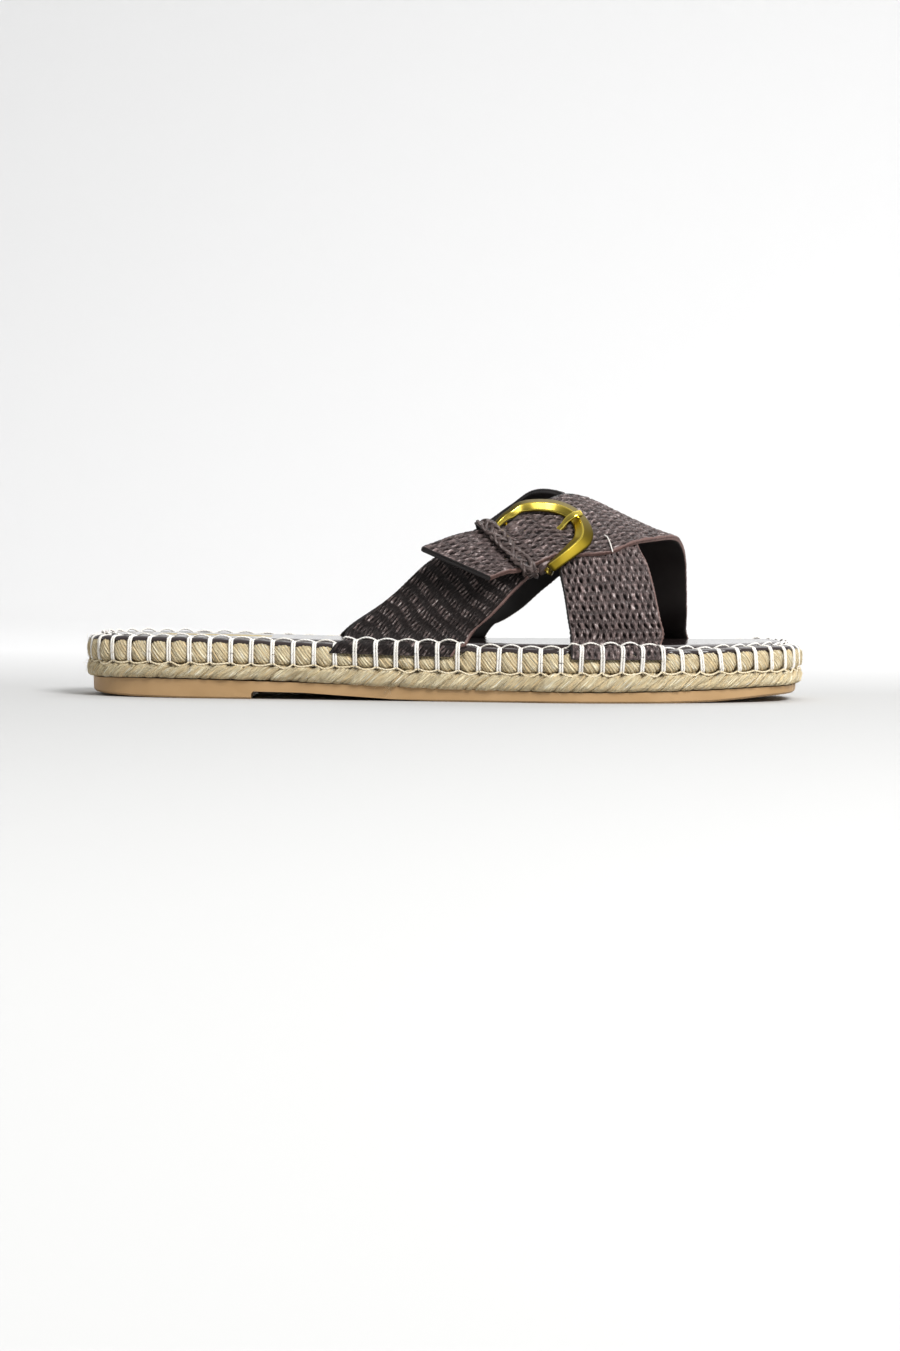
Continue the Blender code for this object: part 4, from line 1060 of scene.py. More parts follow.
weaveShape = {
    # pitches, hole and relief; low is the brightest tone of a band, base the darkest of a strand
    "main": {"rowPitch": 3.65, "columnPitch": 2.46, "holeWide": 0.60, "holeTall": 0.95,
             "holeDeep": 1.15, "strandHeight": 0.50, "bandHeight": 0.22, "slant": 0.6,
             "band": 0.30, "wander": 0.10, "low": 0.35, "base": 0.35},
    # ribs of short leaning strands between wide smooth bands
    "ribs": {"rowPitch": 5.2, "columnPitch": 1.3, "holeWide": 0.28, "holeTall": 1.15,
             "holeDeep": 0.55, "strandHeight": 0.34, "bandHeight": 0.06, "slant": 1.5,
             "band": 0.20, "wander": 0.16, "low": 0.08, "base": 0.12},
    "perRow": 9, "perColumn": 7,
    # ease between a row's strands and its bands, and pitch of the bands' fine threads
    "bandEase": 0.12, "threadPitch": 0.82,
}


def archRows(table):
    # rows laid on the arch; bow 0 makes a row straight between its ends
    rows, depth = [], []
    share = np.linspace(0.0, 1.0, strapShape["columns"])
    for x0, g0, x1, g1, lift, bow, thick in table:
        curved = archPoint(x0 + (x1 - x0) * share, g0 + (g1 - g0) * share,
                           np.full(len(share), lift))
        straight = curved[0] * (1 - share[:, None]) + curved[-1] * share[:, None]
        rows.append(straight * (1 - bow) + curved * bow)
        depth.append(thick)
    return rows, depth


def footRows(foot, flare=(0.0, 0.0)):
    # rows of a foot wrapped over the rim, hem first; flare widens the hem at each end
    side, rear, front, _ = strapFeet[foot]
    rows = []
    for k, (inset, above) in enumerate(strapShape["foot"]):
        wider = max(0.0, 1 - k / 4.0)
        reach = np.linspace(rear - flare[0] * wider, front + flare[1] * wider,
                            strapShape["columns"])
        rows.append(rimPoints(arcOf(side, reach), inset, "stitched", above))
    return rows, [strapShape["footThickness"]] * len(rows)


def tailRows():
    share = np.linspace(0.0, 1.0, strapShape["columns"])[:, None]
    return [np.array(row[:3]) * (1 - share) + np.array(row[3:6]) * share
            for row in strapShape["tail"]], [row[6] for row in strapShape["tail"]]


def acrossAt(rows, share):
    # each row read at shares 0..1 along it, by a cubic through its columns
    count = rows.shape[1]
    slope = np.gradient(rows, axis=1)
    at = np.clip(share, 0, 1) * (count - 1)
    k = np.minimum(at.astype(int), count - 2)
    u = (at - k)[None, :, None]
    return hermite(u, rows[:, k], slope[:, k], rows[:, k + 1], slope[:, k + 1])


def weaveField(along, across, seed, values):
    # staggered holes between leaning strands: along and across in millimetres;
    # returns height over the strap, shade in the holes and a tone for each strand
    draw = np.random.default_rng(seed)
    rowsDrawn, columnsDrawn = 97, 89
    lean, deep, tone, nudge = draw.uniform(-1, 1, (4, rowsDrawn, columnsDrawn))
    rowPlace = along / values["rowPitch"] \
        + values["wander"] * ripple(across / 40.0, along * 0.05, seed, 5, 4, 1.0)
    row = np.floor(rowPlace).astype(int)
    a = rowPlace - row - 0.5
    lot = row % rowsDrawn
    columnPlace = across / values["columnPitch"] + 0.5 * (row % 2) + 0.07 * nudge[lot, 3] \
        + values["slant"] * 0.35 * a
    column = np.floor(columnPlace).astype(int)
    here = (lot, column % columnsDrawn)
    b = columnPlace - column - 0.5
    b = b + values["slant"] * lean[here] * a * 0.5 + 0.10 * nudge[here]
    wide = values["holeWide"] * (1 + 0.25 * tone[here])
    tall = values["holeTall"] * (1 + 0.2 * deep[here])
    far = np.sqrt((b * values["columnPitch"] / wide) ** 2 + (a * values["rowPitch"] / tall) ** 2)
    hole = np.clip(1.4 - far, 0, 1)
    hole = hole * hole * (3 - 2 * hole) * (0.8 + 0.2 * deep[here])
    band = np.clip((np.abs(a) - values["band"]) / weaveShape["bandEase"], 0, 1)
    strand = np.abs(np.sin(math.pi * b)) ** 0.8 * (1 - band)
    thread = 0.5 + 0.5 * np.cos(2 * math.pi * across / weaveShape["threadPitch"]
                                + 3.0 * nudge[here])
    strandTone = 0.5 + 0.5 * tone[lot, (column + (b > 0)) % columnsDrawn]
    height = values["strandHeight"] * (strand - 0.4) + values["bandHeight"] * band * thread \
        - values["holeDeep"] * hole + 0.10 * (strandTone - 0.5)
    shade = np.clip(1 - 1.1 * hole, 0, 1) * (0.5 + 0.5 * np.maximum(strand, band * thread))
    low, base = values["low"], values["base"]
    bright = np.where(strand > band, base + (1 - base) * strandTone ** 1.3 * strand,
                      low * (0.4 + 0.6 * thread))
    return height, shade, bright


def strapSheet(rows, depth):
    # rows resampled at even steps along their middle, with depth, arc length and width at each
    rows = np.array(rows)
    dense = spline(rows, strapShape["perSpan"])
    arc = runLength(dense[:, rows.shape[1] // 2])
    count = int(arc[-1] / weaveShape["main"]["rowPitch"] * weaveShape["perRow"])
    stations = np.linspace(0.0, arc[-1], count)
    at = np.interp(stations, arc, np.arange(len(arc)))
    k = np.minimum(at.astype(int), len(arc) - 2)
    u = (at - k)[:, None, None]
    sheet = dense[k] * (1 - u) + dense[k + 1] * u
    depth = np.interp(stations, arc, alongKeys(depth, len(dense)))
    return sheet, depth, stations, np.linalg.norm(np.diff(sheet, axis=1), axis=2).sum(axis=1)


def sheetNormals(sheet, centre):
    # unit normals on even columns, all turned away from a spot inside the shoe
    wide = acrossAt(sheet, np.linspace(0, 1, strapShape["normalColumns"]))
    normal = unit(np.cross(np.gradient(wide, axis=0), np.gradient(wide, axis=1)))
    middle = strapShape["normalColumns"] // 2
    if np.sum(normal[:, middle] * (wide[:, middle] - np.array(centre))) < 0:
        normal = -normal
    return normal


def strapRelief(outer, across, along, fade, seed, ribs, spareHoles):
    # weave faded out at the rims, with a dent at each spare hole; ribs turn its directions
    if ribs:
        along = outer[..., 0] * ribs[0] + outer[..., 2] * ribs[1]
        across = outer[..., 0] * ribs[1] - outer[..., 2] * ribs[0]
    height, shade, tone = weaveField(along, across, seed, weaveShape["ribs" if ribs else "main"])
    height = height * fade
    shade = 1 - (1 - shade) * fade
    for spot, radius in spareHoles:
        far = np.linalg.norm(outer - np.array(spot), axis=2) / radius
        dent = strapShape["holeDeep"] * np.clip(1.6 - far, 0, 1) ** 0.7
        height = height * np.clip(far - 0.6, 0, 1) - dent
        shade = shade * np.clip(far - 0.55, 0.0, 1)
    return height, shade, tone, across, along


def pressFeet(height, outer, stations, footEnds):
    # feet are drawn in at each stitch: nip = pull * (deep * (1 - between ^ 0.6) - puff)
    pull = np.zeros(len(stations))
    for run, isFoot in zip((stations, stations[-1] - stations), footEnds):
        if isFoot:
            near = (strapShape["pullLong"] - run) / strapShape["pullFade"]
            pull = np.maximum(pull, np.clip(near, 0, 1))
    pull = pull[:, None]
    arc = np.where(outer[..., 1] > 0, arcOf("medial", outer[..., 0]),
                   arcOf("lateral", outer[..., 0]))
    nip = strapShape["nip"] * (1 - betweenStitches(arc) ** 0.6) - strapShape["puff"]
    return height * (1 - strapShape["pressed"] * pull) - pull * nip


def strapEdge(sheet, normal, depth, stations, seed, share, inward):
    # bulge, groove between the two layers, bulge, from the face to the lining
    rim = acrossAt(sheet, np.array([share]))[:, 0]
    out = unit(rim - acrossAt(sheet, np.array([inward]))[:, 0])
    down = unit(acrossAt(normal, np.array([share])))[:, 0] * depth[:, None]
    wavy = strapShape["edgeWave"] * ripple(stations[:, None] / 30.0, 0 * stations[:, None],
                                           seed + 2, 7, 30)
    return np.stack([rim + out * (push + wavy) - down * drop
                     for push, drop in strapShape["edge"]], axis=1)


def closeStrap(loop, lengthways, depth, drops):
    # both ends close over two rounded layers by rings drawn towards the half thickness
    halfway = loop + lengthways * (depth[:, None] * (drops[None] - 0.5))[..., None]
    heading = unit(np.stack([loop[0] - loop[2], loop[-1] - loop[-3]]))
    rings = [[halfway[end] + (loop[end] - halfway[end]) * share + heading[end] * push
              for push, share in strapShape["closing"]] for end in (0, -1)]
    return np.concatenate([np.array(rings[0][::-1]), loop, np.array(rings[1])])


def makeStrap(name, parts, seed, centre, footEnds=(True, False), spareHoles=(), ribs=None,
              gain=1.0):
    # outer face with the weave, rounded edges with a groove between two layers, plain lining;
    # foot ends: whether the first and the last row is a foot;
    # ribs: direction in x and z across which a ribbed weave runs, otherwise the main weave
    rows = [row for part in parts for row in part[0]]
    sheet, depth, stations, width = strapSheet(rows, [d for part in parts for d in part[1]])
    columns = int(width.max() / weaveShape["main"]["columnPitch"] * weaveShape["perColumn"])
    lining = strapShape["liningColumns"]
    margin = strapShape["margin"] / width.mean()
    outerShare = np.linspace(margin, 1 - margin, columns)
    innerShare = np.linspace(1 - margin, margin, lining)
    outer = acrossAt(sheet, outerShare)
    normal = sheetNormals(sheet, centre)
    faceNormal = unit(acrossAt(normal, outerShare))
    liningNormal = unit(acrossAt(normal, innerShare))

    across = (outerShare[None, :] - 0.5) * width[:, None]
    along = stations[:, None] + np.zeros_like(across)
    toHem = np.minimum(along, stations[-1] - along) / strapShape["hemFade"]
    toRim = (width[:, None] / 2 - strapShape["rimBare"] - np.abs(across)) / strapShape["rimFade"]
    fade = np.clip(toRim, 0, 1) * np.clip(toHem, 0, 1)
    height, shade, tone, across, along = strapRelief(outer, across, along, fade, seed, ribs,
                                                     spareHoles)
    height = pressFeet(height, outer, stations, footEnds)

    front = strapEdge(sheet, normal, depth, stations, seed, 1.0, 1 - margin)
    rear = strapEdge(sheet, normal, depth, stations, seed, 0.0, margin)[:, ::-1]
    loop = np.concatenate([outer + faceNormal * height[..., None], front,
                           acrossAt(sheet, innerShare) - liningNormal * depth[:, None, None],
                           rear], axis=1)
    below = np.array([drop for _, drop in strapShape["edge"]])
    edge, total = len(below), loop.shape[1]
    lengthways = np.concatenate([faceNormal, np.repeat(faceNormal[:, -1:], edge, axis=1),
                                 liningNormal, np.repeat(faceNormal[:, :1], edge, axis=1)], 1)
    drops = np.concatenate([np.zeros(columns), below, np.ones(lining), below[::-1]])
    loop = closeStrap(loop, lengthways, depth, drops)

    # paints by column: weave, painted edge, lining, dark edge; the closed ends are dark too
    extra = len(strapShape["closing"])
    count = len(stations) + 2 * extra
    marks = np.full((count, total), 3)
    marks[:, :columns - 1] = 0
    marks[:, columns - 1:columns + edge - 1] = 1
    marks[:, columns + edge - 1:columns + edge + lining] = 2
    marks[:extra], marks[-extra - 1:] = 3, 3
    paints = (legPaint if ribs else raffiaPaint, edgePaint, liningPaint, darkEdgePaint)

    # the closing rings repeat the end rows' values
    row = np.clip(np.arange(count) - extra, 0, len(stations) - 1)
    plain = np.ones((len(stations), total - columns))
    edgeU = plain * np.arange(total - columns) * strapShape["uvEdge"]
    u = np.concatenate([across + strapShape["uvAside"], edgeU], axis=1)[row]
    v = np.concatenate([along, stations[:, None] * plain], axis=1)[row]
    v = v + strapShape["uvApart"] * seed
    tones = np.concatenate([gain * tone, 0.5 * plain], axis=1)[row]
    shades = np.concatenate([shade, plain], axis=1)[row]
    quads, i, j = gridQuads(count, total, closeCols=True)
    uv = cornerUv(np.concatenate([u, u[:, :1]], axis=1), np.concatenate([v, v[:, :1]], axis=1),
                  i, j)
    caps = [list(range(total)), list(range((count - 1) * total, count * total))]
    makePiece(name, loop, quads, caps, uv, {"tone": tones, "shade": shades}, paints, marks[i, j],
              "weave", ("upper",))


def turnedAbout(part):
    return part[0][::-1], part[1][::-1]


makeStrap("strap_under", (footRows("underLateral"), archRows(strapShape["under"]),
                          turnedAbout(footRows("underMedial"))),
          3, (30.0, 0.0, 15.0), (True, True))
makeStrap("strap_over", (footRows("overMedial"), archRows(strapShape["over"]), tailRows()),
          7, (40.0, 0.0, 15.0), spareHoles=strapShape["holes"], gain=0.80)
makeStrap("strap_rear_leg", (footRows("rearLateral", strapShape["rearFlare"]),
                             archRows(strapShape["rear"])),
          11, (-10.0, 0.0, 15.0), ribs=(0.68, 0.73))
print("straps made")

# buckle: the fold of the rear leg round its bar, then frame, bar and prong

buckleShape = {
    # x, girth, lift, width across, depth
    "frame": ((17.2, 2.13, 3.7, 2.4, 1.6), (19.0, 2.17, 4.1, 2.7, 1.8),
              (21.0, 2.218, 4.3, 3.0, 1.9), (22.39, 2.245, 4.35, 3.4, 2.0),
              (24.34, 2.27, 4.35, 4.0, 2.1), (27.21, 2.322, 4.35, 4.9, 2.2),
              (30.79, 2.341, 4.35, 5.7, 2.3), (35.41, 2.352, 4.35, 6.1, 2.4),
              (39.92, 2.355, 4.35, 6.2, 2.4), (44.23, 2.329, 4.35, 6.0, 2.4),
              (46.71, 2.285, 4.35, 6.0, 2.4), (48.52, 2.21, 4.35, 6.4, 2.4),
              (49.33, 2.118, 4.35, 7.0, 2.4), (48.73, 2.032, 4.35, 6.8, 2.4),
              (46.9, 1.935, 4.35, 6.3, 2.4), (44.71, 1.815, 4.35, 5.8, 2.4),
              (41.42, 1.667, 4.35, 5.1, 2.3), (37.6, 1.533, 4.35, 4.5, 2.3)),
    "perSpan": 12,
    # x, girth of the bar's ends and its lift; lugs join it to the band
    "barEnds": ((21.8, 2.24, 0.8), (37.8, 1.54, -1.8)),
    "barRadius": 1.2, "barSpan": (0.06, 1.0), "lugRadius": 1.0,
    # stations of the frame that the lugs meet, and how far they are sunk at the bar and there
    "lugStations": (30, -5), "lugSunk": (0.4, 0.6),
    "foldRadius": 3.3, "foldSpan": (0.075, 0.925),
    # size of the section at the last stations of both ends, which rounds the cut
    "cutSizes": (0.82, 0.95),
    # across and up over the band: broad outer facet, crest, narrow inner facet, upright sides
    "section": ((-0.44, -0.5), (0.44, -0.5), (0.485, -0.44), (0.5, -0.30), (0.495, -0.18),
                (0.47, -0.10), (0.42, -0.02), (0.00, 0.49), (-0.03, 0.515), (-0.06, 0.52),
                (-0.09, 0.505), (-0.12, 0.47), (-0.42, 0.10), (-0.47, 0.03), (-0.49, -0.06),
                (-0.5, -0.2), (-0.49, -0.44)),
    # light painted on each corner of the section, which also sets its roughness: painted shade and
    # reflection on the broad outer facet, painted highlight on the crest and the inner facet
    "paintedFacetLight": (0.3, 0.2, 0.0, 0.0, 0.0, 0.0, 0.05, 0.15, 0.9, 1.0, 0.9, 0.6, 0.75, 0.8, 0.5,
               0.3, 0.3),
    # row of the frame and the power that its painted light is raised to there: higher on the lower
    # arm, which is painted darker as shade over the key light's reflection
    "dimmer": ((0, 1.5), (9, 1.5), (13, 1.9), (14, 4.5), (17, 4.5)),
    # x, girth, lift, half width and half height
    "prong": ((37.5, 2.12, -1.0, 1.0, 1.0), (40.6, 2.16, 0.8, 1.0, 1.0),
              (42.1, 2.175, 2.6, 1.0, 1.0), (43.3, 2.20, 5.0, 1.1, 1.0),
              (45.0, 2.228, 6.6, 1.15, 0.95), (47.7, 2.272, 6.9, 1.1, 0.85)),
    "prongPerSpan": 12, "tipSizes": (0.8, 0.95), "ringGap": 0.6,
    # ring on the bar: inner and outer radius, and length along the bar
    "ring": (1.65, 2.8, 3.8),
}
frameRows = np.array(buckleShape["frame"])
barTop, barFoot = (archPoint(*end) for end in buckleShape["barEnds"])


def alongBar(share):
    share = np.asarray(share, float)[..., None]
    return barTop * (1 - share) + barFoot * share


def makeFold(values):
    # strap end wrapped round the bar: a tube of slightly uneven radius
    share = np.linspace(*values["foldSpan"], 60)
    path = alongBar(share)[None]
    swell = 1 + 0.02 * np.sin(share * 40.0)
    makeTubes("strap_fold", path, values["foldRadius"] * swell[None], (0.3, 0.2, 1.0), 40,
              fields={"tone": [0.5], "shade": [1.0]}, paints=(raffiaPaint,), slot="weave",
              replaces=("upper",))


makeFold(buckleShape)


def sweep(name, path, side, up, section, paint, slot, replaces, closed=False, uvScale=1.0,
          tones=0.5):
    # section carried along a path: point + side * across + up * height, both per station
    points = path[:, None] + side[:, None] * section[..., :1] + up[:, None] * section[..., 1:]
    rows, columns = points.shape[:2]
    quads, i, j = gridQuads(rows, columns, closeRows=closed, closeCols=True)
    run = runLength(path)
    run = np.append(run, run[-1] + run[1]) if closed else run
    u, v = np.meshgrid(np.arange(columns + 1) * uvScale, run)
    caps = [] if closed else [list(range(columns)),
                              list(range((rows - 1) * columns, rows * columns))]
    tones = np.broadcast_to(tones, (rows, columns))
    makePiece(name, points, quads, caps, cornerUv(u, v, i, j),
              {"tone": tones, "shade": np.ones((rows, columns))}, (paint,), None, slot,
              replaces)


def makeBuckleFrame(values):
    # band along its keys on the arch, lying square to the face, then the bar and its two lugs
    keys = archPoint(frameRows[:, 0], frameRows[:, 1], frameRows[:, 2])
    path = spline(keys, values["perSpan"])
    x, turn, wide, deep = (alongKeys(frameRows[:, k], len(path)) for k in (0, 1, 3, 4))
    tangent = unit(np.gradient(path, axis=0))
    lifted = archPoint(x, turn, np.ones(len(x))) - archPoint(x, turn, np.zeros(len(x)))
    out = unit(np.mean(unit(lifted), axis=0))
    away = path - np.mean(path, axis=0)
    away = away - (away @ out)[:, None] * out
    side = unit(away - tangent * np.sum(away * tangent, axis=1)[:, None])
    up = np.cross(tangent, side)
    up = up * np.sign(np.sum(up[len(path) // 2] * out))
    sizes = np.ones(len(path))
    sizes[[0, -1]], sizes[[1, -2]] = values["cutSizes"]
    section = np.array(values["section"])[None] * (np.stack([wide, deep], axis=1)
                                                   * sizes[:, None])[:, None]
    # tone = each corner's painted light raised to its row's power: painted reflection and shade
    dimmer = np.interp(np.linspace(0, len(keys) - 1, len(path)), *np.array(values["dimmer"]).T)
    sweep("buckle_horseshoe", path, side, up, section, facetPaint, "brass", ("buckle_frame",),
          tones=np.array(values["paintedFacetLight"]) ** dimmer[:, None])
    bar = alongBar(np.linspace(*values["barSpan"], 24))[None]
    makeTubes("buckle_bar", bar, values["barRadius"], (0.3, 0.2, 1.0), 24, paints=(goldPaint,),
              slot="brass", replaces=("buckle_frame",))
    share = np.linspace(0.0, 1.0, 12)[:, None]
    below, above = values["lugSunk"]
    lugs = [(foot - out * below) * (1 - share) + (path[station] - out * above) * share
            for foot, station in zip((barTop, barFoot), values["lugStations"])]
    makeTubes("buckle_lugs", np.array(lugs), values["lugRadius"], (0.9, 0.3, 0.1), 20,
              paints=(goldPaint,), slot="brass", replaces=("buckle_frame",))


def makeProng(values):
    # squared tapered rod from its ring on the bar, up through the strap and over the frame
    rows = np.array(values["prong"])
    keys = archPoint(rows[:, 0], rows[:, 1], rows[:, 2])
    inner, outer, long = values["ring"]
    middle = alongBar(0.5)
    keys = np.vstack([middle + unit(keys[0] - middle) * (inner + values["ringGap"]), keys])
    path = spline(keys, values["prongPerSpan"])
    halves = np.vstack([rows[:1, 3:], rows[:, 3:]])
    half = np.stack([alongKeys(halves[:, k], len(path)) for k in range(2)], axis=1)
    half[[-1, -2]] *= np.array(values["tipSizes"])[:, None]
    tangent = unit(np.gradient(path, axis=0))
    bar = unit(barFoot - barTop)
    side = unit(bar - tangent * (tangent @ bar)[:, None])
    up = np.cross(tangent, side)
    section = roundedSection(28, (0.35, 0.35), start=0.5)[None] * half[:, None]
    sweep("prong_rod", path, side, up, section, goldPaint, "brass", ("buckle_prong",))
    turn = np.arange(40) * 2 * math.pi / 40
    first = unit(np.cross(bar, (0.3, 0.2, 1.0)))
    second = np.cross(bar, first)
    radial = np.cos(turn)[:, None] * first + np.sin(turn)[:, None] * second
    ring = middle + radial * (inner + outer) / 2
    shape = roundedSection(16, (0.6, 0.6), ((outer - inner) / 2, long / 2))
    sweep("prong_ring", ring, radial, np.broadcast_to(bar, ring.shape),
          np.broadcast_to(shape, (len(ring),) + shape.shape), goldPaint, "brass",
          ("buckle_prong",), closed=True)


makeBuckleFrame(buckleShape)
makeProng(buckleShape)
print("buckle made")

# keeper: a thin band closed round both straps, a flat plait of seven strands on its face

keeperShape = {
    # x and girth of both ends of the band's line, and of a line ahead that its width points to
    "line": ((15.6, 2.154), (29.6, 1.585)), "barLine": ((23.0, 2.18), (36.4, 1.62)),
    # lift of its lower and upper lap with the change on the line ahead, and how far it passes
    # the straps' upper and lower edges as a share of the line
    "levels": ((-4.7, -0.3), (5.8, -1.5)), "edges": (0.11, 0.07), "width": 5.6,
    "stations": 420,
    # backing: share of the width, half thickness, height
    "backing": (0.94, 0.42, -0.2),
    # strands: crossings, sizes, and how far each strays in its turn and sideways
    "plaits": 5, "strands": 7, "sideways": 2.3, "overUnder": 0.55, "above": 0.45,
    "strandWide": 1.2, "strandThick": 0.95, "swell": 0.22, "wander": (0.45, 0.18),
    "streakScale": 0.22,
}


def loopTangent(path):
    # unit direction at each point of a closed line
    return unit(np.roll(path, -1, axis=0) - np.roll(path, 1, axis=0))


def keeperPath(values):
    # lap round the two straps: over the top, round the lower edge, beneath, round the upper edge
    low, high = values["levels"]
    corners = np.array([[archPoint(x, g, value) for x, g in values["line"]]
                        for value in (low[0], high[0])])
    ahead = np.array([[archPoint(x, g, value + drop) for x, g in values["barLine"]]
                      for value, drop in (low, high)]) - corners
    upperEdge, lowerEdge = values["edges"]
    lap = [(s, 1.0) for s in np.linspace(-0.01, 1.01, 7)]
    lap += [(1.0 + lowerEdge, v) for v in (0.85, 0.5, 0.15)]
    lap += [(s, 0.0) for s in np.linspace(1.01, -0.01, 7)]
    lap += [(-upperEdge, v) for v in (0.15, 0.5, 0.85)]
    weights = np.array([[(1 - v) * (1 - u), (1 - v) * u, v * (1 - u), v * u] for u, v in lap])
    both = np.concatenate([weights @ corners.reshape(4, 3), weights @ ahead.reshape(4, 3)], 1)
    dense = spline(both, 24, closed=True)
    loop = np.concatenate([dense, dense[:1]])
    arc = runLength(loop[:, :3])
    at = np.linspace(0, arc[-1], values["stations"], endpoint=False)
    even = np.stack([np.interp(at, arc, loop[:, k]) for k in range(6)], axis=1)
    path, ahead = even[:, :3], even[:, 3:]
    along = loopTangent(path)
    ahead = unit(ahead - along * np.sum(ahead * along, axis=1)[:, None])
    face = np.cross(along, ahead)
    if np.sum(face * (path - np.mean(path, axis=0))) < 0:
        face = -face
    return path, ahead, face


def makeKeeper(values):
    # a plain backing band, and on it strands that wander from side to side over one another
    path, ahead, face = keeperPath(values)
    count = len(path)
    wide, thick, sunk = values["backing"]
    shape = roundedSection(20, (0.5, 0.6), (values["width"] / 2 * wide, thick)) + (0.0, sunk)
    sweep("keeper_backing", path, ahead, face, np.broadcast_to(shape, (count,) + shape.shape),
          liningPaint, "weave", ("keeper_loop",), closed=True)
    # strand k: sideways * sin(t + k part of a turn) across, overUnder * sin(2 t + ...) up
    t = np.arange(count) / count * 2 * math.pi * values["plaits"]
    once = np.arange(count) / count * 2 * math.pi
    late, aslant = values["wander"]
    oval = roundedSection(12, (0.8, 0.9), (values["strandWide"] / 2, values["strandThick"] / 2))
    for k in range(values["strands"]):
        shift = 2 * math.pi * k / values["strands"] + late * np.sin(3 * once + 2.1 * k)
        aside = values["sideways"] * np.sin(t + shift) + aslant * np.sin(7 * once + 1.7 * k)
        lift = values["above"] + values["overUnder"] * np.sin(2 * (t + shift) + 0.9 * k)
        line = path + ahead * aside[:, None] + face * lift[:, None]
        along = loopTangent(line)
        flatwise = unit(face - along * np.sum(face * along, axis=1)[:, None])
        swell = 1 + values["swell"] * np.sin(5 * once + 2.3 * k)
        sweep("keeper_strand_%d" % (k + 1), line, np.cross(along, flatwise), flatwise,
              oval[None] * swell[:, None, None], glossPaint, "weave", ("keeper_loop",),
              closed=True, uvScale=values["streakScale"])


makeKeeper(keeperShape)
print("keeper made")

# small things: the tack thread beside the buckle and the loose hairs of the jute

looseShape = {"tack": ((57.8, -29.3, 61.0), (58.9, -30.6, 60.2), (59.9, -32.3, 57.8),
                       (60.7, -34.3, 54.9)), "tackRadius": 0.22,
              "hairs": 620, "hairRadius": 0.055, "hairLong": (2.0, 6.5), "hairInset": 0.9,
              # height of the roots over the seam
              "roots": (-5.6, 6.2),
              # a tuft drawn out of the lower braid: hairs, middle and spread in x, root heights
              "tuft": (28, -19.5, 1.6, (-6.2, -5.0))}


def makeLoose(values):
    tack = smoothPaths(np.array(values["tack"])[None], 8)
    makeTubes("tack_thread", tack, values["tackRadius"], (1.0, 0.2, 0.1), 8,
              fields={"tone": [0.6]}, paints=(threadPaint,), slot="thread")
    draw = np.random.default_rng(77)
    count = values["hairs"]
    arc = draw.uniform(0, girth, count)
    z = draw.uniform(*values["roots"], count)
    tuft, x, spreadX, heights = values["tuft"]
    arc[:tuft] = arcOf("lateral", draw.normal(x, spreadX, tuft))
    z[:tuft] = draw.uniform(*heights, tuft)
    root = rimPoints(arc, values["hairInset"], "seam", 0.0)
    root[:, 2] += z
    # hair: root + length * (way * share + curl * share ^ 2)
    normal = outlineAt(arc)[1]
    out = np.concatenate([normal, np.zeros((count, 1))], axis=1)
    along = np.stack([-normal[:, 1], normal[:, 0], np.zeros(count)], axis=1)
    up = np.array([0.0, 0.0, 1.0])
    long = draw.uniform(*values["hairLong"], count) * draw.uniform(0.4, 1.0, count)
    bend = draw.uniform(-1, 1, (3, count))
    share = np.linspace(0, 1, 6)[None, :, None]
    way = unit(out * draw.uniform(0.15, 0.5, count)[:, None] + along * bend[0][:, None] * 1.1
               + up * bend[1][:, None] * 0.8)
    curl = along * bend[2][:, None] * 0.5 + up * (bend[1] * 0.3)[:, None] - out * 0.12
    path = root[:, None] + long[:, None, None] * (way[:, None] * share
                                                  + curl[:, None] * share ** 2)
    radius = values["hairRadius"] * (1 - 0.6 * share[..., 0]) * np.ones((count, 1))
    makeTubes("jute_hairs", path, radius, (0.2, 0.4, 1.0), 4,
              fields={"tone": draw.uniform(0.4, 1, count), "shade": np.ones(count)},
              paints=(jutePaint,), slot="jute")


makeLoose(looseShape)
print("loose threads made")

# light and floor

studioLook = {
    "sky": 0.80, "aim": (0.0, 0.0, 0.03),
    "key": 43.0, "keySize": 0.8, "keySpot": (0.85, -1.25, 1.25),
    "rim": 11.0, "rimSize": 1.4, "rimSpot": (0.5, 1.1, 1.3),
    # floor grey: painted shade, darker than the white wall
    "floor": (0.52, 0.52, 0.515, 1), "wall": (0.83, 0.83, 0.83, 1),
    # backdrop: front edge, start and radius of its bend, height of the wall, half its width
    "front": -1500.0, "bendStart": 900.0, "bendRadius": 500.0, "wallTop": 2600.0,
    "halfWidth": 2600.0,
}


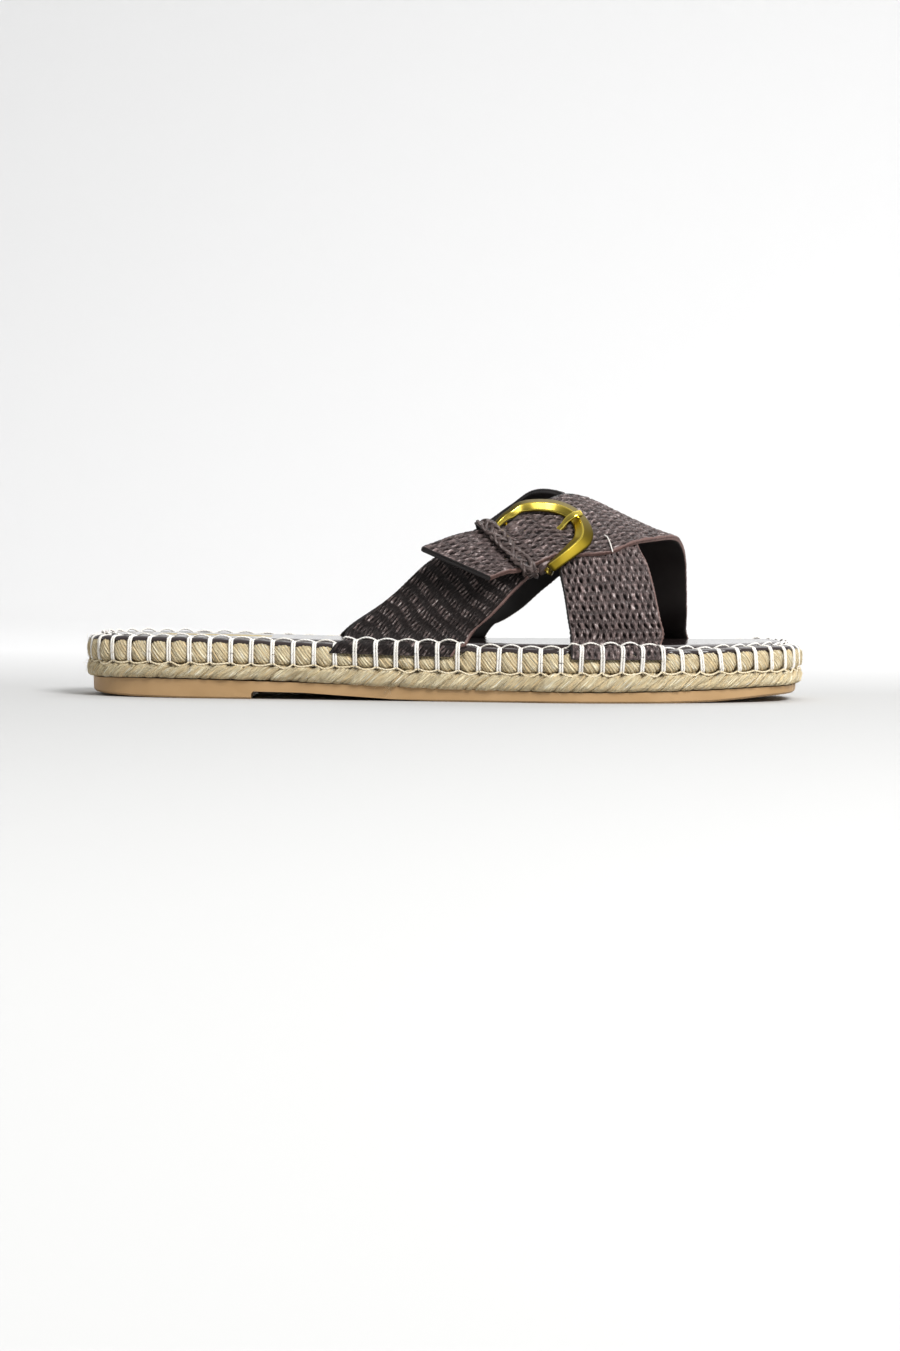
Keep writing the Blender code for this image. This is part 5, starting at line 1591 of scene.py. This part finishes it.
def makeLight(name, energy, size, spot, aim):
    lamp = bpy.data.lights.new(name, "AREA")
    lamp.energy, lamp.shape, lamp.size = energy, "DISK", size
    holder = newObject(name, lamp)
    turn = (Vector(spot) - Vector(aim)).to_track_quat("Z", "Y").to_matrix().to_4x4()
    holder.matrix_world = Matrix.Translation(spot) @ turn


def makeSky(values):
    # bright overhead and behind the shoe, dim on the side that faces it
    world = bpy.data.worlds.new("studio")
    bpy.context.scene.world = world
    world.use_nodes = True
    tree = world.node_tree
    back = tree.nodes["Background"]
    facing = addNode(tree, "ShaderNodeTexCoord").outputs["Generated"]
    apart = addNode(tree, "ShaderNodeSeparateXYZ", {0: facing})
    tint = calc(tree, "MULTIPLY", spread(tree, apart.outputs[2], -0.3, 0.75, 0.45, 1.0),
                spread(tree, apart.outputs[1], -0.9, 0.1, 0.25, 1.0))
    wire(tree, back.inputs["Color"], blendColour(tree, tint, (0, 0, 0, 1), (1, 1, 1, 1)))
    back.inputs["Strength"].default_value = values["sky"]


def makeBackdrop(values):
    # floor swept up into a wall: flat, quarter round, upright, darker in front than behind: the
    # floor's grey is painted shade, floor and wall standing for one white surface
    radius = values["bendRadius"]
    turn = np.linspace(0, math.pi / 2, 24)
    bend = np.stack([values["bendStart"] + radius * np.sin(turn),
                     radius - radius * np.cos(turn)], axis=1)
    line = np.vstack([[values["front"], 0.0], bend,
                      [values["bendStart"] + radius, values["wallTop"]]])
    points = np.zeros((len(line), 2, 3))
    points[..., 0] = -values["halfWidth"], values["halfWidth"]
    points[..., 1:] = line[:, None]
    quads = gridQuads(len(line), 2)[0]
    mesh = bpy.data.meshes.new("studio_sweep")
    mesh.from_pydata((points.reshape(-1, 3) * mm).tolist(), [], quads.tolist())
    smoothFaces(mesh)
    paint, tree, shader = newPaint("pale floor", Roughness=0.9)
    depth = axisOf(tree, objectPlace(tree), 1)
    wire(tree, shader.inputs["Base Color"],
         blendColour(tree, spread(tree, depth, 0.05, 0.45), values["floor"], values["wall"]))
    mesh.materials.append(paint)
    newObject("studio_sweep", mesh)


makeSky(studioLook)
for kind in ("key", "rim"):
    makeLight(kind + " light", studioLook[kind], studioLook[kind + "Size"],
              studioLook[kind + "Spot"], studioLook["aim"])
makeBackdrop(studioLook)
bpy.context.scene.view_settings.view_transform = "Standard"
print("studio made")
